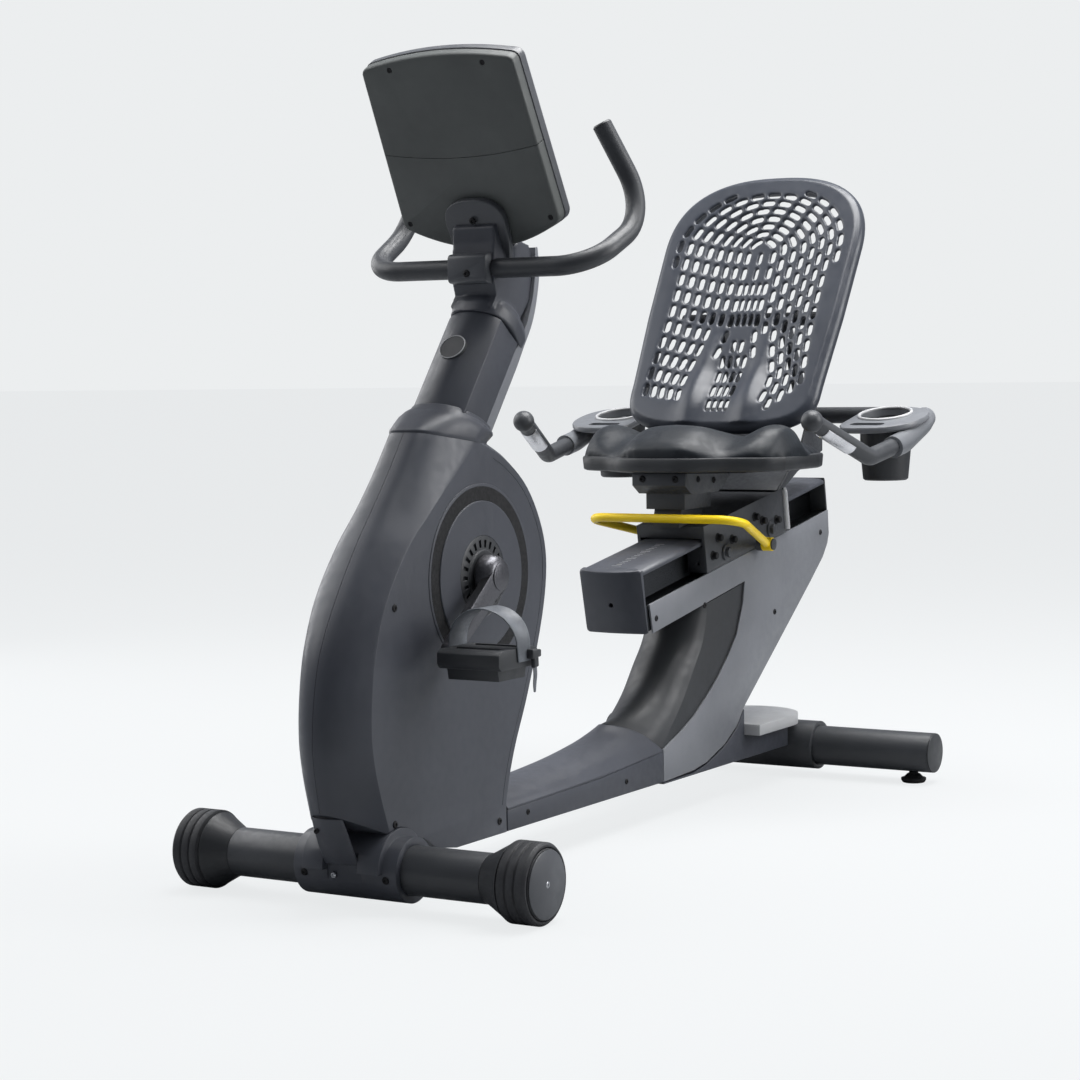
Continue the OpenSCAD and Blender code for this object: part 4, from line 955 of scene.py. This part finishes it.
def make_tubes():
    make_piece("handlebar_tube", [tube(bent_path(BAR_PATH, [0, 90, 70, 70, 90, 0]), 16)], "handlebar")
    arm_path = ARM_SIDE + [(-x, y, z) for x, y, z in reversed(ARM_SIDE)]
    plates, balls, eyes = [], [], []
    ball = [(20 * s, -20 * c) for c, s in half_turn(14)]
    foot = [rail_yz(150, 93.4), rail_yz(180, 93.4)]
    for side in SIDES:
        plates.append(prism(foot + [(1369, 597), (1484, 634), (1484, 690), (1462, 716), (1440, 716),
                (1415, 690), (1385, 640)], side * 74, side * 80))
        plates.append(prism([(1408, 694), (1440, 716), (1346, 906), (1326.4, 897)], side * 62, side * 76))
        balls.append(turned(ball, (side * 299, 970, 707), (0, 0, 1), 32))
        eyes.append(turned([(7, 80.4), (12.4, 80.4), (13, 81), (13, 99.4), (12.4, 100), (7, 100)],
                (0, 1215, 467), (side, 0, 0)))
    plates += [box(-75, 1400, 612, 75, 1478, 618), prism(foot + [(1369, 597.6), (1369, 601)], -75, 75)]
    crossbar = tube([(x, 1339, 893) for x in (-150, -149, 149, 150)], lambda s: 12 if s in (0, 1) else 13)
    make_piece("seat_frame_tubes", [tube(bent_path(arm_path, ARM_BEND), 16)] + balls
            + [worked(joined("plates", plates), bevel=(1.5, 2)), crossbar], "seat_frame")
    lever = bent_path([(-88, 1215, 467), (-165, 955, 530), (165, 955, 530), (88, 1215, 467)], [0, 36, 36, 0])
    make_piece("release_lever_bar", [tube(lever, 8, 28)] + eyes, "release_lever")


# ---- screws
def screw(centre, axis, radius=5.5, height=2.0):
    """Button head with a six-sided socket, standing on a surface at centre."""
    head = turned([(radius, -1), (radius, 0.2), (radius * 0.93, height * 0.6), (radius * 0.7, height),
            (radius * 0.5, height)], centre, axis, 24)
    return worked(head, [turned([(radius * 0.46, height * 0.2), (radius * 0.46, height + 1)], centre, axis, 6)])


def side_screws(points, x, radius=5.5):
    return [screw((side * x, y, z), (side, 0, 0), radius) for side in SIDES for y, z in points]


# ---- console
CONSOLE_OUT = (0, -cos(radians(CONSOLE_LEAN)), sin(radians(CONSOLE_LEAN)))
CONSOLE_SHELL = [(0, -4.5), (0.5, -2.6), (1.6, -1.2), (3.4, -0.4), (6, 0), (20, 0.4)]
SEAM_Z = 118


def console_outline(grow, radius=11.0):
    """Arched foot and top with rounded corners, as (x, z)."""
    foot = [(x, -42 + 42 * (x / 149) ** 2) for x in (-149 + 298 * i / 24 for i in range(25))]
    top = [(x, 291 - 15 * (x / 142) ** 2) for x in (142 - 284 * i / 24 for i in range(25))]
    loop = [Vector(p) for p in foot + top]
    corners = {i: loop[i] for i in (0, 24, 25, 49)}
    rounded = []
    for i, p in enumerate(loop):
        if i in corners:
            a, b = (next(q for q in (loop[(i + way * k) % len(loop)] for k in range(1, 25))
                    if (q - p).length >= radius) for way in (-1, 1))
            a, b = p + (a - p).normalized() * radius, p + (b - p).normalized() * radius
            rounded += [(1 - t) ** 2 * a + 2 * t * (1 - t) * p + t * t * b for t in (k / 6 for k in range(7))]
        elif min((corner - p).length for corner in corners.values()) >= radius:
            rounded.append(p)
    grown = []
    for i, p in enumerate(rounded):
        along = (rounded[(i + 1) % len(rounded)] - rounded[i - 1]).normalized()
        grown.append(p + Vector((along.y, -along.x)) * grow)
    return grown


def console_shell(rows):
    """Shell through rows of (depth, growth), closed at both ends."""
    return loft([[console(p.x, y, p.y) for p in console_outline(grow)] for y, grow in rows])


def above_seam(offset):
    line = [(x, SEAM_Z + 14 * (x / 149) ** 2 + offset) for x in range(-165, 166, 15)] + [(175, 420), (-175, 420)]
    return loft([[console(x, y, z) for x, z in line] for y in (-10, 40)])


def make_console():
    marks = [(-87, 272), (87, 272), (-134, 8), (134, 8)]
    for node, keep, offset in (("console_back", "INTERSECT", 0.4), ("console_lower", "DIFFERENCE", -0.4)):
        piece = new_object(node + "_finish", console_shell(CONSOLE_SHELL))
        cut(piece, [console_shell([(3, -4), (25, -3)])])
        cut(piece, [above_seam(offset)], keep)
        cut(piece, [turned([(4.6, -2), (4.6, 2.6)], console(x, 0, z), (0, 1, 0), 24)
                for x, z in marks if (z > SEAM_Z) == (node == "console_back")])
        smooth_by_angle(piece.data, 30)
        finish_piece(piece, node)
    # thin black screw heads; their black partly stands in for the painted shade deep in the screw recesses
    make_piece("console_screws", [screw(console(x, 0.6, z), CONSOLE_OUT, 4.4, 0.4) for x, z in marks],
            "console_back", "belt_rubber", 0)
    window = [(-108, 92), (108, 92), (108, 250), (-108, 250)]
    cutters = [console_shell([(18, -2.5), (37, -2.5)]),
            loft([[console(x * s, y, 171 + (z - 171) * s) for x, z in window]
            for y, s in ((30, 0.985), (45, 1.03))])]
    cutters += [loft([[console(x + 9.4 * c, y, 36 + 9.4 * s) for c, s in circle(32)] for y in (30, 50)])
            for x in (-45, 0, 45)]
    make_piece("console_bezel_finish", [console_shell(
        [(20.3, 1), (21, 2), (34, 2.4), (37.5, 1.2), (39.2, -1), (40, -4)])], "console_bezel", degrees=30,
        cutters=cutters)


# ---- mast head, rail cap, trays
def make_head():
    """Cast head: sleeve over the mast, neck that holds the handlebar, round-topped tongue on the console."""
    def sleeve(w, grow):
        return sleeve_ring(54 + grow, 65.5 + grow, 56 + grow, lambda s, y: w + 8 * s * s)
    neck = [(329, 909), (344, 928), (337, 948), (338, 992), (341, 1012), (340, 1036), (352, 1044),
            (362.6, 1039.6), (381.4, 1001.2), (420, 1016), (446, 1010), (456, 985), (450, 922), (405, 880)]
    arch = [(56 * math.copysign(abs(c) ** 0.8, c), 8 + 42 * s ** 0.8) for c, s in half_turn(24)]
    tongue = arch + [(-54, -24), (-46, -62), (46, -62), (54, -24)]
    make_piece("mast_head_tongue", [loft([[console(x, y, z) for x, z in tongue] for y in (-14, -0.5)])],
            "mast_head", "bezel_plastic", 40, bevel=(2.5, 3, 50))
    root = [[console(x, y, z) for x, z in ((-50, -38), (50, -38), (42, -66), (-42, -66))] for y in (-13, 10)]
    head = new_object("mast_head_casting", joined("head", [
        loft([sleeve(184, 0), sleeve(205, 0.5), sleeve(216, -3), sleeve(228, -14)]), prism(neck, -40, 40),
        loft(root)]))
    remesh(head, 2.0, 7)
    finish_piece(head, "mast_head")


def make_rear_cover():
    """Light cover down the rear of the mast, carried on up behind the head."""
    def rear(y, w):
        return mast(0, y, w)[1:]
    outer = smooth_run([rear(122, 30), rear(122, 100), rear(122, 165), (424, 840), (452, 880), (469, 925),
            (476, 965), (472, 1001)])
    inner = [(455, 1006), (454, 960), (446, 925), (428, 885), (400, 848), rear(90, 165), rear(90, 30)]
    sections = ((-46, 14), (-45, 9), (-41, 3), (-34, 0), (34, 0), (41, 3), (45, 9), (46, 14))
    make_piece("mast_rear_shell", [loft([[(x, y - drop * 0.8, z + drop * 0.45) for y, z in outer]
            + [(x, y, z) for y, z in inner] for x, drop in sections])], "mast_rear_cover", degrees=38)


def make_rail_cap():
    """Bowed moulded cap that closes the front of the seat rail."""
    rings = []
    for x in (62 * s for s in across(24)):
        q = (x / 62) ** 2
        pinch = 2.5 * max(0.0, (abs(x) - 58) / 4)
        rings.append([rail(x, u, v) for u, v in (
            (-370.4, -52.4 + pinch), (-370.4, 66 - pinch), (-388 + 13 * q, 65.4 - pinch),
            (-391.5 + 14 * q, 63.4 - pinch), (-393 + 14.5 * q, 60 - pinch), (-380 + 7 * q, -46 + pinch),
            (-378.4 + 6.4 * q, -50 + pinch), (-375 + 4 * q, -52.4 + pinch))])
    make_piece("rail_cap", [loft(rings)], "end_caps", "shroud_plastic", 32,
            [turned([(4.5, -14), (4.5, 30)], rail(0, -388, 2), (0, 1, 0.165), 24)])


TRAY_PLAN = [(-48, -102), (0, -106), (44, -98), (74, -70), (86, -28), (82, 16), (62, 46), (26, 62), (-18, 62),
        (-46, 48), (-58, 14), (-59, -40), (-58, -82)]


def make_trays():
    """Rounded tray on each arm with a cup holder, a rim round it and a slot for a phone."""
    plan = smooth_run(TRAY_PLAN[-2:] + TRAY_PLAN + TRAY_PLAN[:2], 5)[10:-10]
    rings = [[tray(x * (1 - inset / 72), -20 + (y + 20) * (1 - inset / 84), z) for x, y in plan]
            for z, inset in ((-13, 5), (-12, 2), (-9, 0), (-3, 0), (-1, 1), (0, 3))]
    slot = capsule([(-29, -78), (21, -78)], 19)
    top = worked(loft(rings), [loft([[tray(x, y, z) for x, y in slot] for z in (-30, 20)]),
            turned([(46, -60), (46, 60)], CUP, (0, 0, 1), 64)])
    sleeve = tube(bent_path([(350.1, 1207.4, 652.3), (352, 1250, 660), (352, 1335, 690), (333.5, 1398, 701)],
            [0, 90, 90, 0]), 20.5)
    cup = turned([(1, 586), (39, 586), (42.5, 589), (47.3, 640), (47.6, 704), (45.4, 704), (45, 640),
            (41, 591), (1, 591)], (CUP[0], CUP[1], 0), (0, 0, 1), 64)
    rim = tube([tray(49.5 * c, 49.5 * s, 1) for c, s in circle(64) + circle(64)[:1]], 3.2, 12)
    make_piece("tray_tops", [top, sleeve, mirrored(top), mirrored(sleeve)], "trays")
    make_piece("tray_cups", [cup, mirrored(cup)], "trays", "dark_plastic")
    make_piece("tray_rims", [rim, mirrored(rim)], "trays", "button_grey")


# ---- small pieces
def make_fixings():
    """Screws, bolts, wheel caps and knobs."""
    low = radians(10)
    front = Vector((0, -cos(low), -sin(low)))

    def on_bracket(x, radius):
        return screw(Vector((x, 0, WHEEL_CENTRE[2])) + 50 * front, front, radius)
    heads = side_screws([(2, 456), (-8, 130), (285, 87)], BODY_HALF, 6)
    heads += side_screws([(372, 88), (700, 88)], BODY_HALF, 5)
    heads += side_screws([rail_yz(-345, -30), (1000, 369), (1290, 330), (1500, 470)], BODY_HALF)
    heads += [screw((-17, -94, 128), (0, -0.87, 0.5), 4.5), on_bracket(-75, 6), on_bracket(75, 6),
            screw((0, 318, 962), (0, -1, 0), 6), screw((0, 339, 1046), CONSOLE_OUT, 6)]
    make_piece("cover_screws", heads, "frame", "belt_rubber")
    make_piece("bracket_bolt", [on_bracket(-20, 5)], "frame", "bare_steel")
    knobs = []
    for side, body in zip(SIDES, ("wheel_r", "wheel_l")):
        out = (side, 0, 0)
        make_piece("wheel_screw_" + body[-1], [screw((side * 328, 0, WHEEL_CENTRE[2]), out, 5, 1.0)], body,
                "bare_steel")
        make_piece("wheel_cap_" + body[-1], [turned(
            [(2, 326), (50, 326), (51.5, 327), (50, 328), (2, 328.3)], WHEEL_CENTRE, out, 64)], body,
            "bezel_plastic", 50)
        for u, v in ((-120, 30), (-95, 58), (-40, 42), (60, 62), (90, 48), (150, 36)):
            knobs.append(turned([(9, 69), (9, 71), (6.5, 72), (6.5, 79), (5.5, 80), (0.1, 80)], rail(0, u, v),
                    out, 24))
    make_piece("carriage_knobs", knobs, "carriage", "belt_rubber")
    bolts = [screw((x, 950, 602), (0, -1, 0), 6.5, 3) for x in (-34, 34)]
    make_piece("bracket_bolts", bolts + side_screws([(1000, 600), (1062, 596)], 55, 6), "seat_bracket",
            "belt_rubber")


def make_marks():
    """Hoop under the carriage, scale on the rail cover and plain badge on the mast."""
    hoop = [rail(side * 71, 192, v) for side, v in ((1, 8), (1, 93), (-1, 93), (-1, 8))]
    # the hoop is bare steel; its light grey is a painted reflection, standing in for the bright look of the metal
    make_piece("carriage_hoop", [tube(bent_path(hoop, [0, 14, 14, 0]), 6.4, 20)], "carriage", "button_grey")
    ticks = []
    for k in range(16):
        u, half = -355 + 11 * k, 5.5 if k % 5 else 9
        ticks.append(prism([rail_yz(a, v) for a, v in ((u, 66), (u + 1.6, 66), (u + 1.6, 66.25), (u, 66.25))],
                -half, half))
    make_piece("rail_scale", ticks, "rail_cover", "button_grey")

    def badge_ring(r, y):
        return [mast(r * c, y, 112 + r * s) for c, s in circle(48)]
    ring = badge_ring(22, -2.2)
    make_piece("badge_ring", [tube(ring + ring[:1], 0.9, 8)], "mast_cover", "button_grey")
    make_piece("badge_disc", [loft([badge_ring(23, 6), badge_ring(23, -1.6), badge_ring(22.4, -2.2)])],
            "mast_cover", "dark_plastic")


# CAD nodes that keep their shape, by the rounding of their edges in millimetres
ROUNDED = {
    0.5: "pulse_sensors crank_axle",
    0.8: "front_stabiliser seat_rail rear_stabiliser transport_wheel_left transport_wheel_right foot_left "
        "foot_right button_left button_middle button_right", 1.0: "carriage base_beam",
    1.2: "side_panel_left side_panel_right",
    1.5: "wheel_collars mast_cover beam_cover_lower rail_cover pedal_left pedal_right seat_bracket",
    2.0: "front_bracket handlebar_clamp crank_arm_left crank_arm_right", 3.0: "end_caps step_cover"}
CLAMP_WIDENING = 1.2


def drop_rail_cap(work):
    """Takes the rail's front cap out of the end caps, because rail_cap stands for it."""
    low, high = at(-70, 740, 300), at(70, 800, 470)
    gone = [v for v in work.verts if all(a <= c <= b for a, c, b in zip(low, v.co, high))]
    bmesh.ops.delete(work, geom=gone, context="VERTS")


def make_rounded():
    pieces = {node: rounded_copy(node, edge) for edge, nodes in ROUNDED.items() for node in nodes.split()}
    edit_mesh(pieces["end_caps"].data, drop_rail_cap)
    for vertex in pieces["handlebar_clamp"].data.vertices:
        vertex.co.x *= CLAMP_WIDENING
    # the seat board's corners come in under the cushion's swept-back front
    edge = at(0, 1006, 611)
    for vertex in pieces["seat_bracket"].data.vertices:
        if abs(vertex.co.x) > 0.1 and vertex.co.y < edge.y and vertex.co.z > edge.z:
            vertex.co.y = edge.y


make_camera()
make_floor()
make_studio()
dress_cad_nodes()
make_shroud()
make_base_covers()
make_backrest()
make_cushion()
make_tubes()
make_console()
make_straps()
make_fixings()
make_marks()
make_collar()
make_nose_plate()
make_crank_covers()
make_head()
make_rear_cover()
make_rail_cap()
make_trays()
make_rounded()
